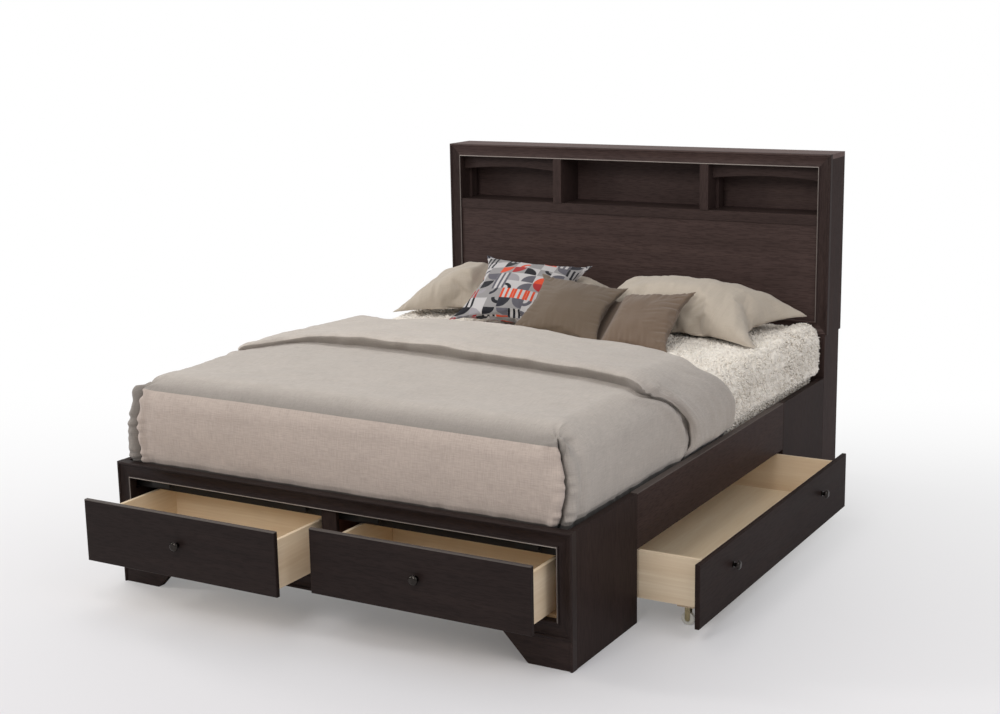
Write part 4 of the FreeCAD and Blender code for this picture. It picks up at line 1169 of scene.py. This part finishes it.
def printedCloth(name, ground):
    # Off-white cloth with a plain print of quarter rounds, rings and bars in black, greys and orange-red.
    # Each square tile draws its shape, its ink and the corner that it starts from by chance.
    surface = Surface(name, 0.85, Sheen_Weight=0.12, Specular_IOR_Level=0.2)
    place = surface.uv()
    cell = surface.stretched(place, (1 / printed["tile"], 1 / printed["tile"], 1))
    tile = surface.vectorMaths("FLOOR", cell)
    chance, second = (
        surface.add("ShaderNodeTexWhiteNoise", {"noise_dimensions": "2D"}, {"Vector": where})
        for where in (tile, surface.vectorMaths("ADD", tile, (31.0, 17.0, 0.0)))
    )
    x, y, z = surface.axes(surface.vectorMaths("FRACTION", cell))
    flipX, flipY = chance > 0.5, second > 0.5
    x = x * (1 - flipX) + (1 - x) * flipX
    y = y * (1 - flipY) + (1 - y) * flipY
    radius = surface.maths("SQRT", x * x + y * y)
    disc = radius < 0.92
    ring = (radius < 0.62) * (radius > 0.34)
    bars = surface.maths("SINE", x * (math.tau * 2.5)) > 0.1
    kind = surface.maths("FRACT", chance * 7.31)
    ink = disc * (kind < 0.4) + ring * (kind > 0.4) * (kind < 0.62) + bars * (kind > 0.62) * (kind < 0.86)
    paper = surface.ramp(second, [(0.0, ground), (0.55, scaled(ground, 0.55))])
    inks = [(where, tone(*colour)) for where, colour in printed["inks"]]
    colours = surface.ramp(surface.maths("FRACT", chance * 3.77 + second), inks)
    for ramp in (paper, colours):
        ramp.socket.node.color_ramp.interpolation = "CONSTANT"
    weave = surface.noise(surface.stretched(place, (700, 120, 1)), 1.0, 2.0)
    return surface.finish(colour=surface.mix(ink, paper, colours), normal=surface.bump(weave, 0.2, 0.0008))


def inflate(thing, pressure):
    # A cloth simulation without weight blows the sewn panels up.
    modifier = thing.modifiers.new("inflate", "CLOTH")
    settings = modifier.settings
    settings.quality = 6
    settings.mass = 0.25
    settings.air_damping = 2.0
    settings.tension_stiffness = settings.compression_stiffness = filling["stiffness"]
    settings.shear_stiffness = 9
    settings.bending_stiffness = 0.02
    settings.use_pressure = True
    settings.uniform_pressure_force = pressure
    settings.effector_weights.gravity = 0
    modifier.collision_settings.use_collision = False
    modifier.point_cache.frame_start = 1
    modifier.point_cache.frame_end = filling["frames"]


def makeCushions():
    # All are cut flat and blown up together; then each is brought to its size, shaped and laid in its place.
    made = {}
    for name, about in cushions.items():
        width, height, thick = about["size"]
        step = 0.0105 if "pillow" in name else 0.0075
        wide, high, loft = width * filling["cutWide"], height * filling["cutHigh"], thick * filling["cutLoft"]
        points, faces, uv = outlineCut(wide, high, loft, about["drawn"], about["ears"], step)
        if name == "cushion_patterned":
            material = printedCloth(name, about["tone"])
        else:
            material = cloth(name, about["tone"], 600.0, 0.2, 0.05, 0.88, 0.2)
        made[name] = makePiece(name + "_filled", points, faces, material, uv)
        inflate(made[name], about["pressure"])
    scene = bpy.context.scene
    for frameNumber in range(1, filling["frames"] + 1):
        scene.frame_set(frameNumber)
    for name, thing in made.items():
        thing.modifiers.new("finer", "SUBSURF").levels = 1
        shape = thing.evaluated_get(bpy.context.evaluated_depsgraph_get())
        mesh = bpy.data.meshes.new_from_object(shape)
        thing.modifiers.clear()
        thing.data = mesh
        points = np.zeros(len(mesh.vertices) * 3)
        mesh.vertices.foreach_get("co", points)
        points = points.reshape(-1, 3)
        about = cushions[name]
        low, high = points.min(0), points.max(0)
        print(name, "grew to", np.round(high - low, 3))
        points = (points - (low + high) / 2) * (np.array(about["size"]) / (high - low))
        mesh.vertices.foreach_set("co", laidCushion(shaped(points, about), about).ravel())
        mesh.shade_smooth()
        mesh.update()
        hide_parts(name)
        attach(thing, "bed")
    scene.frame_set(1)


def turned(about):
    # The matrix that rolls it in its own plane, then raises it, then turns it about the vertical.
    turn, rise, roll = (
        Matrix.Rotation(math.radians(angle), 3, axis) for angle, axis in zip(about["angles"], "ZXZ")
    )
    return np.array(turn @ rise @ roll)


def shaped(points, about):
    # The cushion still lies flat round the origin: its filling is spread out, thinned, wrinkled and let down.
    wide, high, thick = np.array(about["size"]) / 2
    # Puckers stand at right angles to the seam and die out away from it; broad dents lie all over.
    height, reach, size, dent = about["wrinkle"]
    fromSide, fromEnd = wide - abs(points[:, 0]), high - abs(points[:, 1])
    along = np.where(fromSide < fromEnd, points[:, 1], points[:, 0] + 5)
    nearest = np.minimum(fromSide, fromEnd)
    face = np.sign(points[:, 2]) * smooth(0, 0.012, nearest)
    pucker = cloud(along + nearest * 0.2, nearest * 0.2, size, 101) * np.exp(-nearest / reach)
    points[:, 2] = thick * np.sign(points[:, 2]) * (abs(points[:, 2]) / thick) ** about["full"]
    u, v = np.clip(points[:, 0] / wide, -1, 1), np.clip(points[:, 1] / high, -1, 1)
    points[:, 2] *= ((1.02 - u * u) * (1.02 - v * v)) ** about.get("domed", 0)
    points[:, 2] *= (1.02 - u * u * v * v) ** about.get("thinCorners", 0)
    points[:, 2] *= 1 - smooth(0.3, -0.5, v) * (1 - (1.02 - u * u) ** about.get("thinFront", 0))
    points[:, 2] += face * (height * pucker + dent * cloud(points[:, 0] * 1.4, points[:, 1], 0.07, 103))
    # A pillow that lies flat has most of its filling above the seam, and its corners droop.
    flat = about["flat"]
    if flat < 1:
        droop = (abs(points[:, 0]) / wide) ** 3 * (abs(points[:, 1]) / high) ** 2
        under = points[:, 2] < 0
        points[:, 2] = points[:, 2] * np.where(under, flat, 2 - flat) - filling["droop"] * droop
    return points


def pressed(points, front, soft, slope):
    # In the front cushion's own directions, points that would lie in it go just behind its back. Past its
    # outline the limit rises again with the distance, so that the dent has sloping sides.
    matrix, centre = turned(front), np.array(front["centre"])
    local = (points - centre) @ matrix
    wide, high, thick = np.array(front["size"]) / 2
    u, v = np.clip(abs(local[:, 0]) / wide, 0, 1), np.clip(abs(local[:, 1]) / high, 0, 1)
    back = -thick * ((1 - u ** 2) * (1 - v ** 2)) ** filling["roundness"]
    outside = np.hypot(np.maximum(abs(local[:, 0]) - wide, 0), np.maximum(abs(local[:, 1]) - high, 0))
    limit = back - filling["gap"] + slope * outside
    local[:, 2] = limit - soft * np.logaddexp(0, (limit - local[:, 2]) / soft)
    return local @ matrix.T + centre


def laidCushion(points, about):
    # Turned and moved to its place, then pressed by the cushions in front of it, the cover and the headboard.
    # The small cushions sink a little into the fluffy cover.
    points = points @ turned(about).T + np.array(about["centre"])
    for other in about.get("behind", ()):
        points = pressed(points, cushions[other], about["softness"], about.get("slope", 1.3))
    low, board, soft = about["sinksTo"], filling["board"], filling["touch"]
    points[:, 2] = low + soft * np.logaddexp(0, (points[:, 2] - low) / soft)
    points[:, 1] = board - soft * np.logaddexp(0, (board - points[:, 1]) / soft)
    return points


makeCushions()
print("stage: pillows and cushions")
